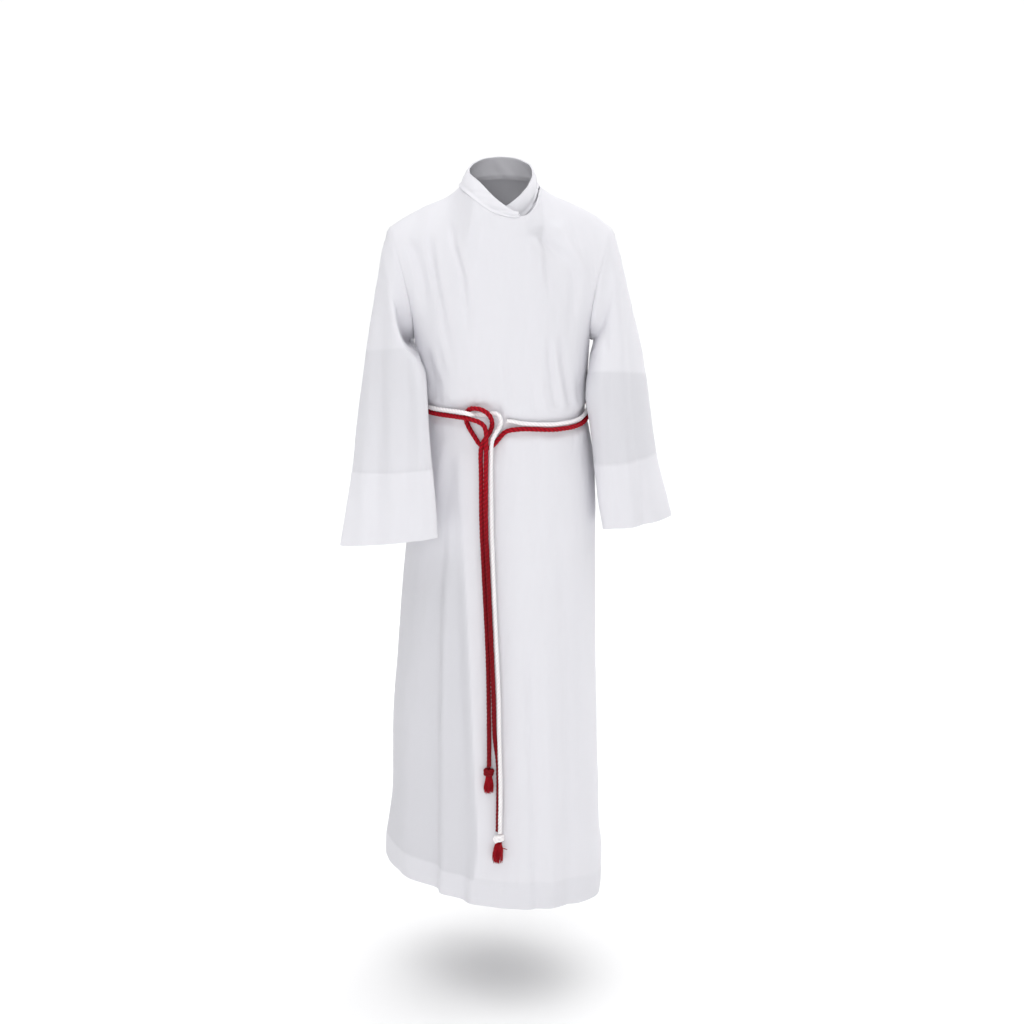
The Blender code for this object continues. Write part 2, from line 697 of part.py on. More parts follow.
def knot(name, spec, colour):
    (x, z), half, height, lift = spec
    place = lying([(x, z, lift)])[0]
    top = height / 2
    rows = 9
    profile = []
    for i in range(rows):
        a = math.pi * i / (rows - 1)
        profile.append((half * math.sin(a) ** 0.75 if 0 < i < rows - 1 else 0.0, top * math.cos(a)))
    return turned(name, profile, place, 0.0, colour, stretch=0.78), place


def tassel(name, spec, knot_spec, lean, colour):
    length, half = spec
    (x, z), _, height, lift = knot_spec
    top = z - height / 2 - SEAM
    place = lying([(x, top, lift)])[0]
    profile = [
        (0.0, -0.0001),
        (0.0040, -0.0002),
        (0.0052, -0.0022),
        (0.0058, -length * 0.35),
        (half, -length * 0.80),
        (half * 0.92, -length),
        (0.0, -length),
    ]
    return turned(name, profile, place, lean, colour, stretch=0.8)


# ---------------------------------------------------------------- assembly
def clear_scene():
    for obj in list(bpy.data.objects):
        bpy.data.objects.remove(obj, do_unlink=True)


def make_pieces():
    shoulder = np.linspace(-1, -NECK_S, SHOULDER_COLUMNS + 1)
    neck = np.linspace(-NECK_S, NECK_S, NECK_COLUMNS + 1)
    panel_s = np.concatenate([shoulder, neck[1:-1], -shoulder[::-1]])
    under_s = panel_s[panel_s > UNDER_FROM]
    front, waist_row = body_grid(panel_s, NECKLINE, FOLDS_FRONT)
    under, _ = body_grid(under_s, UNDER_NECKLINE, FOLDS_FRONT)
    back, _ = body_grid(panel_s, BACK_NECKLINE, FOLDS_BACK, back=True)
    # The armhole loops: shoulder point, front edge down, back edge up.
    loops = {}
    for side, column in (("right", 0), ("left", -1)):
        down = front[waist_row:, column][::-1]
        up = back[waist_row:, column]
        loops[side] = np.concatenate([down, up[1:-1]])
    front, back, under = hem_tilt(front), hem_tilt(back), hem_tilt(under)
    sleeve_right = sleeve_grid(loops["right"], SLEEVE_RIGHT)
    sleeve_left = sleeve_grid(loops["left"], SLEEVE_LEFT)
    pieces = [
        Piece("front_outer", front, row_normals(front)),
        Piece("back", back, row_normals(back, sign=-1.0), flip=True),
        Piece("sleeve_right", sleeve_right, row_normals(sleeve_right, True, -1.0), closed=True, flip=True),
        Piece("sleeve_left", sleeve_left, row_normals(sleeve_left, True), closed=True),
        Piece("front_under", under, row_normals(under)),
    ]
    share_normals(pieces)
    lapped = pieces[-1]
    lapped.points = lapped.points - lapped.normals * (CLOTH + LAP_GAP)
    band = between_rows(COLLAR, COLLAR_STEPS)
    rise = np.array([0.0, 0.5, 1.0])[:, None, None]
    collar = band[None, :, :3] * (1 - rise) + band[None, :, 3:] * rise
    pieces.append(Piece("collar", collar, row_normals(collar), wall=COLLAR_CLOTH))
    return pieces


def main():
    clear_scene()
    bpy.context.scene.collection.children.link(robe)
    for piece in make_pieces():
        wall_object(piece)

    red = (
        lying(RED_FIRST + RED_HOOK)
        + round_waist(0.36, 3.44, 0.0, RED_OFF, 28)
        + lying(RED_SECOND)
    )
    white = (
        lying(WHITE_LAST[::-1])
        + round_waist(0.36, 3.44, WHITE_ABOVE, WHITE_OFF, 28)
        + lying(WHITE_FIRST[::-1])
    )
    cord_object("cincture_red", dense_where_bent(red, CORD_POINTS), CORD_D, RED)
    cord_object("cincture_white", dense_where_bent(white, CORD_POINTS), WHITE_D, CORD_WHITE)
    knot("knot_upper", KNOT_UPPER, RED)
    knot("knot_lower", KNOT_LOWER, CORD_WHITE)
    tassel("tassel_upper", TASSEL_UPPER, KNOT_UPPER, 0.03, RED)
    tassel("tassel_lower", TASSEL_LOWER, KNOT_LOWER, 0.06, RED)


robe = bpy.data.collections.new("alb_robe")
main()
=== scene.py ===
"""The looks of a white youth alb and its red and white cincture, in the CAD
part's frame: metres, +Z up, its front towards -Y and its left sleeve at +X.

Each cut piece of cloth is a thin shell on its solid's form, with its folds,
seams and hems moved into the mesh. The two cords are twisted from strands.
"""

import math

import bpy
import numpy as np
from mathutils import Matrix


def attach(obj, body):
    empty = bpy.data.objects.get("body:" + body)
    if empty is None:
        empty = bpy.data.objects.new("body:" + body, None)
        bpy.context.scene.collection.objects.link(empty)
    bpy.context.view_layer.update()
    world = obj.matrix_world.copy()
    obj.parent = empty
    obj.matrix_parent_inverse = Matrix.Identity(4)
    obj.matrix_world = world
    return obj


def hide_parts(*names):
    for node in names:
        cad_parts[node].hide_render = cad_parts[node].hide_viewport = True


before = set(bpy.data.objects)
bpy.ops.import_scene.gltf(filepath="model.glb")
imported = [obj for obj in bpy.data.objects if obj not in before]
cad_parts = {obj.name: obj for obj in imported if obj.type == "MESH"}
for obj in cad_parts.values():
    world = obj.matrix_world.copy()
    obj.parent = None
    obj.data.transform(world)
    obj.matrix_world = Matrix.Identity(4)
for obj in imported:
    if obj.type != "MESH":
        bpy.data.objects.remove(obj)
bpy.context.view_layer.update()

# ---------------------------------------------------------------- sizes
SHELL = 0.0010  # the cloth as it is shown
HEM_SHELL = 0.0016  # where it is turned up
COLLAR_CLOTH = 0.0022
CLOTH = 0.0015  # the solid's wall, which the under front lies behind
LAP_GAP = 0.0012
HEM_Z = -1.052
ARMPIT_Z = -0.212
WAIST_Z = -0.322
FLOOR_Z = -1.2275
CORD_D = 0.0068
WHITE_D = 0.0062
ARMHOLE_HALF_DEPTH = 0.046
NECK_S = 0.36
UNDER_FROM = -0.28
BOTTOM_HEM = 0.040  # depth of the turned hem

# ---------------------------------------------------------------- camera
scene = bpy.context.scene
camera = bpy.data.cameras.new("camera")
camera.sensor_fit = "HORIZONTAL"
camera.sensor_width = 36.0
camera.lens = 1911.0 / 1024.0 * 36.0
camera_object = bpy.data.objects.new("camera", camera)
camera_object.location = (0.014, -2.7, 0.2725)
camera_object.rotation_euler = (math.radians(90 - 15.5), 0, 0)
scene.collection.objects.link(camera_object)
scene.camera = camera_object

# ---------------------------------------------------------------- sections
# z, x of the right side, x of the left side, y there (right, left),
# depth of the front, depth of the back, roundness of the front
BODY = np.array(
    [
        (-1.060, -0.1825, 0.1455, 0.034, -0.026, 0.128, 0.150, 1.78),
        (-1.030, -0.1820, 0.1490, 0.033, -0.025, 0.127, 0.149, 1.80),
        (-0.985, -0.1760, 0.1500, 0.028, -0.020, 0.126, 0.147, 1.86),
        (-0.935, -0.1700, 0.1440, 0.026, -0.018, 0.125, 0.144, 1.88),
        (-0.800, -0.1665, 0.1415, 0.021, -0.014, 0.121, 0.137, 1.92),
        (-0.690, -0.1575, 0.1385, 0.017, -0.010, 0.117, 0.130, 1.95),
        (-0.550, -0.1450, 0.1365, 0.012, -0.006, 0.112, 0.121, 2.00),
        (-0.430, -0.1300, 0.1350, 0.006, -0.002, 0.106, 0.110, 2.05),
        (-0.350, -0.1190, 0.1255, 0.001, 0.000, 0.1005, 0.101, 2.10),
        (-0.322, -0.1150, 0.1190, 0.000, 0.000, 0.0975, 0.098, 2.12),
        (-0.296, -0.1180, 0.1215, 0.000, 0.000, 0.1020, 0.101, 2.12),
        (-0.262, -0.1215, 0.1225, 0.000, 0.000, 0.1035, 0.102, 2.12),
        (-0.212, -0.1265, 0.1255, 0.000, 0.000, 0.1015, 0.100, 2.12),
    ]
)
NECKLINE = np.array(
    [
        (-0.36, -0.0585, -0.0020, -0.0015),
        (-0.24, -0.0410, -0.0450, -0.0125),
        (-0.10, -0.0150, -0.0700, -0.0290),
        (0.06, 0.0140, -0.0790, -0.0372),
        (0.17, 0.0310, -0.0770, -0.0350),
        (0.26, 0.0440, -0.0620, -0.0265),
        (0.32, 0.0500, -0.0370, -0.0150),
        (0.36, 0.0535, -0.0050, -0.0030),
    ]
)
UNDER_NECKLINE = np.array(
    [
        (-0.30, -0.0520, -0.0660, -0.0700),
        (-0.14, -0.0240, -0.0705, -0.0560),
        (0.04, 0.0020, -0.0705, -0.0480),
        (0.16, 0.0270, -0.0640, -0.0385),
        (0.26, 0.0430, -0.0440, -0.0230),
        (0.32, 0.0480, -0.0240, -0.0110),
        (0.36, 0.0500, -0.0040, -0.0042),
    ]
)
BACK_NECKLINE = np.array(
    [
        (-0.36, -0.0585, -0.0020, -0.0015),
        (-0.28, -0.0500, 0.0300, 0.0015),
        (-0.14, -0.0270, 0.0540, 0.0030),
        (0.00, 0.0000, 0.0600, 0.0035),
        (0.14, 0.0270, 0.0540, 0.0025),
        (0.28, 0.0480, 0.0290, 0.0000),
        (0.36, 0.0535, -0.0050, -0.0030),
    ]
)
SHOULDER_RIGHT = np.array(
    [
        (0.36, -0.0585, -0.0020, -0.0015),
        (0.42, -0.0680, 0.0010, -0.0105),
        (0.68, -0.1110, 0.0020, -0.0318),
        (0.86, -0.1400, 0.0010, -0.0475),
        (1.00, -0.1600, 0.0000, -0.0605),
    ]
)
SHOULDER_LEFT = np.array(
    [
        (0.36, 0.0535, -0.0050, -0.0030),
        (0.42, 0.0660, -0.0010, -0.0115),
        (0.62, 0.0980, 0.0010, -0.0265),
        (0.84, 0.1330, 0.0010, -0.0450),
        (1.00, 0.1560, 0.0000, -0.0625),
    ]
)
# The collar band from its hidden left end round the neck to its right end:
# its lower edge, then its upper edge.
COLLAR = np.array(
    [
        (-0.0220, -0.0700, -0.0520, -0.0200, -0.0655, -0.0350),
        (0.0020, -0.0695, -0.0455, 0.0025, -0.0650, -0.0250),
        (0.0270, -0.0620, -0.0360, 0.0215, -0.0570, -0.0125),
        (0.0415, -0.0430, -0.0212, 0.0355, -0.0390, 0.0000),
        (0.0492, -0.0100, -0.0026, 0.0435, -0.0060, 0.0125),
        (0.0470, 0.0288, 0.0016, 0.0412, 0.0248, 0.0235),
        (0.0266, 0.0537, 0.0040, 0.0235, 0.0470, 0.0310),
        (0.0000, 0.0600, 0.0050, 0.0000, 0.0535, 0.0335),
        (-0.0271, 0.0537, 0.0044, -0.0240, 0.0470, 0.0320),
        (-0.0497, 0.0292, 0.0027, -0.0420, 0.0250, 0.0265),
        (-0.0579, -0.0030, 0.0000, -0.0465, -0.0030, 0.0175),
        (-0.0405, -0.0450, -0.0110, -0.0300, -0.0340, 0.0060),
        (-0.0147, -0.0696, -0.0272, -0.0110, -0.0610, -0.0105),
        (0.0120, -0.0784, -0.0354, 0.0085, -0.0735, -0.0240),
        (0.0250, -0.0789, -0.0348, 0.0225, -0.0780, -0.0310),
    ]
)
SLEEVE_RIGHT = np.array(
    [
        (-0.1695, 0.000, -0.0930, -0.1330, -0.002, -0.2200, 0.0460, 0.046, 2.1),
        (-0.1790, 0.000, -0.1490, -0.1190, -0.055, -0.2320, 0.0360, 0.052, 2.0),
        (-0.1905, -0.004, -0.2100, -0.1060, -0.080, -0.2560, 0.0280, 0.056, 1.9),
        (-0.2015, -0.012, -0.2800, -0.1035, -0.092, -0.2860, 0.0200, 0.048, 1.8),
        (-0.2090, -0.032, -0.3400, -0.1010, -0.100, -0.3300, 0.0180, 0.038, 1.7),
        (-0.2145, -0.062, -0.4010, -0.0965, -0.112, -0.3840, 0.0190, 0.040, 1.65),
        (-0.2220, -0.090, -0.4500, -0.0925, -0.119, -0.4330, 0.0160, 0.042, 1.6),
        (-0.2280, -0.110, -0.4950, -0.0900, -0.124, -0.4790, 0.0140, 0.044, 1.6),
    ]
)
SLEEVE_LEFT = np.array(
    [
        (0.1675, 0.000, -0.1000, 0.1315, -0.002, -0.2200, 0.0450, 0.046, 2.1),
        (0.1800, 0.000, -0.1500, 0.1265, -0.018, -0.2290, 0.0440, 0.045, 2.0),
        (0.1945, -0.002, -0.2100, 0.1215, -0.032, -0.2520, 0.0430, 0.053, 1.95),
        (0.2065, -0.004, -0.2710, 0.1170, -0.052, -0.2920, 0.0380, 0.062, 1.9),
        (0.2165, -0.006, -0.3400, 0.1255, -0.050, -0.3480, 0.0380, 0.061, 1.85),
        (0.2255, -0.008, -0.3960, 0.1325, -0.054, -0.4030, 0.0350, 0.067, 1.8),
        (0.2365, -0.008, -0.4380, 0.1385, -0.056, -0.4480, 0.0300, 0.069, 1.75),
        (0.2470, -0.008, -0.4780, 0.1450, -0.054, -0.4860, 0.0240, 0.070, 1.7),
    ]
)
WAIST_LINE = np.array(
    [
        (0.00, -0.3270),
        (0.30, -0.3315),
        (0.60, -0.3330),
        (0.85, -0.3270),
        (1.00, -0.3190),
        (1.40, -0.3090),
        (2.00, -0.3060),
        (2.60, -0.3090),
        (3.00, -0.3120),
        (3.50, -0.3135),
        (4.00, -0.3120),
    ]
)

# ---------------------------------------------------------------- folds
# Each fold: the points (x, z) of its line from the top down, how wide it is
# to the robe's right (-X) and left (+X) of that line, how far it stands out (over 0)
# or sinks in (under 0), and the lengths over which it fades at its two ends.
FRONT_FOLDS = [
    # the long trough that leaves the belt right of the knot's tails and runs
    # to the hem, steep on its inner side
    (
        [(-0.060, -0.350), (-0.069, -0.391), (-0.080, -0.434), (-0.089, -0.520), (-0.0945, -0.644),
         (-0.0975, -0.736), (-0.0995, -0.829), (-0.1015, -0.961), (-0.1030, -1.055)],
        0.0190, 0.0075, -0.0085, 0.25, 0.0,
    ),
    (
        [(-0.083, -0.520), (-0.0850, -0.644), (-0.0870, -0.736), (-0.0880, -0.829), (-0.0900, -1.055)],
        0.0070, 0.0120, 0.0036, 0.10, 0.0,
    ),
    # the swell outside that trough
    ([(-0.135, -0.640), (-0.141, -0.800), (-0.146, -1.055)], 0.013, 0.013, 0.0050, 0.14, 0.0),
    # the ridge where the skirt turns away to the side
    (
        [(-0.0589, -0.357), (-0.0557, -0.479), (-0.0476, -0.669), (-0.0406, -0.855), (-0.0370, -0.944),
         (-0.0470, -1.040), (-0.0490, -1.058)],
        0.0090, 0.0180, 0.0048, 0.03, 0.0,
    ),
    ([(-0.070, -0.560), (-0.066, -0.669), (-0.061, -0.855), (-0.060, -1.055)], 0.014, 0.010, -0.0032, 0.10, 0.0),
    # right-hand side of the picture: long soft folds
    ([(0.0395, -0.600), (0.0420, -0.752), (0.0459, -0.882), (0.0505, -1.055)], 0.006, 0.014, -0.0032, 0.12, 0.0),
    ([(0.0600, -0.560), (0.0640, -0.752), (0.0700, -0.900), (0.0740, -1.055)], 0.014, 0.012, 0.0022, 0.16, 0.0),
    ([(0.0860, -0.480), (0.0930, -0.640), (0.0990, -0.850), (0.1010, -1.055)], 0.008, 0.012, -0.0024, 0.10, 0.0),
    ([(0.0040, -0.360), (0.0060, -0.520), (0.0110, -0.750), (0.0150, -1.055)], 0.012, 0.012, -0.0013, 0.06, 0.0),
    ([(0.1250, -0.760), (0.1330, -0.900), (0.1370, -1.055)], 0.012, 0.014, 0.0055, 0.14, 0.0),
    # below the belt
    ([(-0.0800, -0.345), (-0.0880, -0.400), (-0.0960, -0.470)], 0.007, 0.008, 0.0030, 0.02, 0.05),
    ([(0.0830, -0.470), (0.0838, -0.531), (0.0829, -0.590)], 0.005, 0.008, -0.0012, 0.03, 0.04),
    ([(0.0510, -0.345), (0.0520, -0.400), (0.0500, -0.470)], 0.006, 0.009, -0.0014, 0.01, 0.06),
    # chest, picture left
    (
        [(-0.1010, -0.058), (-0.0977, -0.098), (-0.0909, -0.130), (-0.0844, -0.159), (-0.0800, -0.190),
         (-0.0743, -0.219), (-0.0677, -0.255)],
        0.0042, 0.0060, -0.0038, 0.03, 0.08,
    ),
    ([(-0.0925, -0.070), (-0.0865, -0.110), (-0.0800, -0.150), (-0.0740, -0.200)], 0.005, 0.007, 0.0022, 0.03, 0.06),
    (
        [(-0.0730, -0.045), (-0.0646, -0.083), (-0.0549, -0.113), (-0.0515, -0.145), (-0.0491, -0.174),
         (-0.0439, -0.208)],
        0.0040, 0.0055, -0.0034, 0.02, 0.06,
    ),
    ([(-0.0660, -0.060), (-0.0560, -0.090), (-0.0465, -0.120), (-0.0430, -0.170)], 0.005, 0.007, 0.0020, 0.02, 0.06),
    ([(-0.1300, -0.068), (-0.1175, -0.105), (-0.1100, -0.140), (-0.1055, -0.190)], 0.0060, 0.0090, -0.0046, 0.02, 0.05),
    ([(-0.0930, -0.200), (-0.0855, -0.238), (-0.0780, -0.272)], 0.004, 0.006, -0.0024, 0.03, 0.03),
    ([(-0.1060, -0.215), (-0.1010, -0.250), (-0.0940, -0.300)], 0.006, 0.006, -0.0038, 0.03, 0.01),
    ([(-0.0960, -0.240), (-0.0900, -0.270), (-0.0850, -0.306)], 0.005, 0.006, -0.0028, 0.03, 0.01),
    # chest, middle
    ([(0.0040, -0.196), (0.0112, -0.252), (0.0196, -0.294), (0.0240, -0.312)], 0.0055, 0.0110, -0.0019, 0.04, 0.01),
    ([(-0.0080, -0.180), (-0.0030, -0.240), (0.0060, -0.300)], 0.009, 0.008, 0.0012, 0.05, 0.02),
    # above the belt, picture right
    ([(0.0630, -0.190), (0.0680, -0.245), (0.0723, -0.280), (0.0775, -0.306)], 0.0040, 0.0075, -0.0030, 0.04, 0.01),
    ([(0.0715, -0.190), (0.0765, -0.245), (0.0825, -0.280), (0.0860, -0.306)], 0.0040, 0.0050, 0.0026, 0.04, 0.01),
    ([(0.0790, -0.195), (0.0873, -0.245), (0.0931, -0.276), (0.0975, -0.306)], 0.0045, 0.0065, -0.0032, 0.04, 0.01),
    ([(0.0520, -0.230), (0.0560, -0.270), (0.0610, -0.306)], 0.006, 0.006, 0.0022, 0.04, 0.01),
    ([(0.0400, -0.250), (0.0430, -0.280), (0.0480, -0.308)], 0.005, 0.006, -0.0016, 0.03, 0.01),
    ([(0.1050, -0.250), (0.1080, -0.280), (0.1090, -0.306)], 0.004, 0.005, -0.0022, 0.03, 0.01),
    # from the collar towards the left sleeve
    ([(0.0412, -0.049), (0.0589, -0.070), (0.0760, -0.086), (0.0945, -0.112)], 0.0100, 0.0080, -0.0046, 0.012, 0.03),
    ([(0.0698, -0.043), (0.0887, -0.073), (0.1110, -0.110), (0.1180, -0.140)], 0.0090, 0.0090, 0.0034, 0.015, 0.04),
    ([(0.0940, -0.102), (0.1016, -0.126), (0.1000, -0.160), (0.0960, -0.200)], 0.0080, 0.0070, -0.0032, 0.02, 0.05),
    ([(0.0260, -0.054), (0.0310, -0.090), (0.0300, -0.150)], 0.012, 0.014, -0.0018, 0.01, 0.06),
]
BACK_FOLDS = [
    ([(-0.0760, -0.345), (-0.0900, -0.600), (-0.1080, -0.850), (-0.1250, -1.055)], 0.020, 0.014, -0.0100, 0.06, 0.0),
    ([(-0.0480, -0.345), (-0.0600, -0.620), (-0.0820, -1.055)], 0.014, 0.018, 0.0080, 0.06, 0.0),
    ([(-0.0200, -0.345), (-0.0270, -0.700), (-0.0360, -1.055)], 0.018, 0.013, -0.0100, 0.06, 0.0),
    ([(0.0060, -0.345), (0.0090, -0.700), (0.0120, -1.055)], 0.013, 0.017, 0.0070, 0.06, 0.0),
    ([(0.0330, -0.345), (0.0430, -0.700), (0.0560, -1.055)], 0.017, 0.014, -0.0095, 0.06, 0.0),
    ([(0.0620, -0.345), (0.0800, -0.700), (0.1000, -1.055)], 0.015, 0.018, 0.0080, 0.06, 0.0),
    ([(0.0560, -0.080), (0.0500, -0.180), (0.0400, -0.290)], 0.010, 0.012, -0.0040, 0.04, 0.04),
    ([(-0.0580, -0.080), (-0.0520, -0.180), (-0.0400, -0.290)], 0.012, 0.010, -0.0040, 0.04, 0.04),
    ([(0.0000, -0.150), (0.0030, -0.230), (0.0020, -0.300)], 0.012, 0.010, 0.0030, 0.06, 0.02),
    ([(0.0840, -0.180), (0.0780, -0.250), (0.0700, -0.300)], 0.006, 0.009, -0.0030, 0.05, 0.01),
    ([(-0.0850, -0.170), (-0.0800, -0.250), (-0.0740, -0.300)], 0.009, 0.006, -0.0032, 0.05, 0.01),
    ([(-0.0200, -0.210), (-0.0180, -0.260), (-0.0220, -0.304)], 0.006, 0.007, -0.0024, 0.04, 0.01),
    ([(0.0260, -0.220), (0.0230, -0.260), (0.0240, -0.304)], 0.006, 0.006, -0.0022, 0.04, 0.01),
    ([(0.1020, -0.100), (0.0960, -0.150), (0.0900, -0.210)], 0.007, 0.009, -0.0030, 0.03, 0.05),
    ([(-0.1050, -0.100), (-0.0980, -0.150), (-0.0930, -0.210)], 0.009, 0.007, -0.0030, 0.03, 0.05),
    ([(0.0700, -0.420), (0.0760, -0.500), (0.0800, -0.580)], 0.005, 0.007, 0.0020, 0.05, 0.06),
    ([(-0.1020, -0.500), (-0.1130, -0.640), (-0.1220, -0.760)], 0.006, 0.006, -0.0022, 0.05, 0.06),
]
# The same for the sleeves; the last value says which half carries it.
SLEEVE_RIGHT_FOLDS = [
    ([(-0.1750, -0.100), (-0.1860, -0.200), (-0.1920, -0.330), (-0.1980, -0.480)], 0.010, 0.012, 0.0022, 0.05, 0.0, 1),
    ([(-0.1630, -0.080), (-0.1700, -0.200), (-0.1730, -0.340), (-0.1760, -0.490)], 0.009, 0.010, -0.0022, 0.05, 0.0, 1),
    ([(-0.1500, -0.085), (-0.1520, -0.200), (-0.1540, -0.340), (-0.1530, -0.490)], 0.010, 0.010, 0.0016, 0.05, 0.0, 1),
    ([(-0.1360, -0.110), (-0.1330, -0.200), (-0.1330, -0.340), (-0.1300, -0.490)], 0.008, 0.008, -0.0022, 0.05, 0.0, 1),
    ([(-0.1170, -0.230), (-0.1150, -0.330), (-0.1120, -0.485)], 0.007, 0.007, 0.0020, 0.05, 0.0, 1),
    ([(-0.1480, -0.160), (-0.1380, -0.200), (-0.1260, -0.232)], 0.006, 0.006, -0.0026, 0.03, 0.02, 1),
    ([(-0.1820, -0.120), (-0.1920, -0.260), (-0.2000, -0.470)], 0.010, 0.012, -0.0040, 0.06, 0.0, -1),
    ([(-0.1600, -0.120), (-0.1660, -0.260), (-0.1720, -0.480)], 0.012, 0.012, 0.0040, 0.06, 0.0, -1),
    ([(-0.1380, -0.200), (-0.1380, -0.300), (-0.1420, -0.480)], 0.012, 0.010, -0.0050, 0.06, 0.0, -1),
    ([(-0.1180, -0.250), (-0.1150, -0.330), (-0.1140, -0.480)], 0.010, 0.010, 0.0030, 0.06, 0.0, -1),
]
SLEEVE_LEFT_FOLDS = [
    ([(0.1450, -0.090), (0.1480, -0.200), (0.1500, -0.330), (0.1620, -0.480)], 0.008, 0.010, -0.0020, 0.05, 0.0, 1),
    ([(0.1580, -0.090), (0.1660, -0.200), (0.1720, -0.330), (0.1860, -0.480)], 0.010, 0.010, 0.0020, 0.05, 0.0, 1),
    ([(0.1700, -0.120), (0.1800, -0.220), (0.1900, -0.340), (0.2050, -0.480)], 0.008, 0.010, -0.0024, 0.05, 0.0, 1),
    ([(0.1860, -0.180), (0.1960, -0.280), (0.2060, -0.380), (0.2230, -0.480)], 0.009, 0.009, 0.0016, 0.05, 0.0, 1),
    ([(0.1380, -0.150), (0.1400, -0.200), (0.1500, -0.236)], 0.006, 0.007, -0.0024, 0.03, 0.02, 1),
    ([(0.1820, -0.120), (0.1920, -0.260), (0.2120, -0.470)], 0.010, 0.012, -0.0040, 0.06, 0.0, -1),
    ([(0.1640, -0.120), (0.1740, -0.260), (0.1900, -0.480)], 0.012, 0.012, 0.0040, 0.06, 0.0, -1),
    ([(0.1480, -0.200), (0.1540, -0.300), (0.1660, -0.480)], 0.012, 0.010, -0.0050, 0.06, 0.0, -1),
]


# ---------------------------------------------------------------- curves
def smooth(rows, at):
    """Each column of rows, read at the values in `at` of the first column,
    on a smooth curve that keeps inside the rows' own rises and falls."""
    rows = rows[np.argsort(rows[:, 0])]
    t, values = rows[:, 0], rows[:, 1:]
    step = np.diff(t)[:, None]
    rise = np.diff(values, axis=0) / step
    slope = np.zeros_like(values)
    slope[0], slope[-1] = rise[0], rise[-1]
    same = rise[:-1] * rise[1:] > 0
    mean = (rise[:-1] * step[1:] + rise[1:] * step[:-1]) / (step[1:] + step[:-1])
    least = 2 * np.minimum(abs(rise[:-1]), abs(rise[1:]))
    slope[1:-1] = np.where(same, np.sign(mean) * np.minimum(abs(mean), least), 0.0)
    at = np.clip(np.asarray(at, float), t[0], t[-1])
    i = np.clip(np.searchsorted(t, at, side="right") - 1, 0, len(t) - 2)
    h = step[i]
    u = ((at - t[i])[..., None]) / h
    return (
        (2 * u**3 - 3 * u**2 + 1) * values[i]
        + (u**3 - 2 * u**2 + u) * h * slope[i]
        + (-2 * u**3 + 3 * u**2) * values[i + 1]
        + (u**3 - u**2) * h * slope[i + 1]
    )


def through(points, count):
    """`count` points evenly along a smooth curve through these points."""
    points = np.asarray(points, float)
    gap = np.linalg.norm(np.diff(points, axis=0), axis=1) ** 0.5
    knots = np.concatenate([[0], np.cumsum(gap)])
    slope = np.gradient(points, knots, axis=0, edge_order=1)
    fine = []
    for i in range(len(points) - 1):
        h = knots[i + 1] - knots[i]
        u = np.linspace(0, 1, 24, endpoint=i == len(points) - 2)[:, None]
        fine.append(
            (2 * u**3 - 3 * u**2 + 1) * points[i]
            + (u**3 - 2 * u**2 + u) * h * slope[i]
            + (-2 * u**3 + 3 * u**2) * points[i + 1]
            + (u**3 - u**2) * h * slope[i + 1]
        )
    fine = np.concatenate(fine)
    run = np.concatenate([[0], np.cumsum(np.linalg.norm(np.diff(fine, axis=0), axis=1))])
    at = np.linspace(0, run[-1], count)
    return np.stack([np.interp(at, run, fine[:, k]) for k in range(3)], axis=1)


def between_rows(rows, steps):
    """The rows of a table with smooth ones put in between."""
    at = np.linspace(0, len(rows) - 1, (len(rows) - 1) * steps + 1)
    slope = np.gradient(rows, axis=0)
    i = np.minimum(at.astype(int), len(rows) - 2)
    u = (at - i)[:, None]
    return (
        (2 * u**3 - 3 * u**2 + 1) * rows[i]
        + (u**3 - 2 * u**2 + u) * slope[i]
        + (-2 * u**3 + 3 * u**2) * rows[i + 1]
        + (u**3 - u**2) * slope[i + 1]
    )


def ease(u):
    u = np.clip(u, 0, 1)
    return u * u * (3 - 2 * u)


def bell(u):
    return np.exp(-(u**2))


def power(value, exponent):
    return np.sign(value) * abs(value) ** exponent


def row_normals(points, closed=False, sign=1.0):
    """Normals of a grid of points (rows, columns, 3)."""
    if closed:
        across = np.roll(points, -1, axis=1) - np.roll(points, 1, axis=1)
    else:
        across = np.gradient(points, axis=1)
    along = np.gradient(points, axis=0)
    normal = sign * np.cross(across, along)
    return normal / np.maximum(np.linalg.norm(normal, axis=-1, keepdims=True), 1e-12)


def run_along(points, axis):
    """How far each point is along its row or column, from the first one."""
    step = np.linalg.norm(np.diff(points, axis=axis), axis=-1)
    start = np.zeros_like(np.take(step, [0], axis=axis))
    return np.concatenate([start, np.cumsum(step, axis=axis)], axis=axis)


def evenly(points, count):
    """The same columns with this many rows, evenly apart in each."""
    run = run_along(points, 0)
    out = np.empty((count,) + points.shape[1:])
    for c in range(points.shape[1]):
        at = np.linspace(0, run[-1, c], count)
        for k in range(3):
            out[:, c, k] = np.interp(at, run[:, c], points[:, c, k])
    return out


def waves(u, v, seed, count, length, stretch, spread=0.5):
    """Uneven waves, mostly across u, that keep within about -1 and 1."""
    rng = np.random.default_rng(seed)
    total = 0.0
    for _ in range(count):
        k = 2 * math.pi / (length * rng.uniform(0.55, 1.7))
        lean = rng.normal(0, spread)
        total = total + rng.uniform(0.5, 1.0) * np.sin(
            k * (u * math.cos(lean) + v * math.sin(lean) / stretch) + rng.uniform(0, 2 * math.pi)
        )
    return total / count**0.5


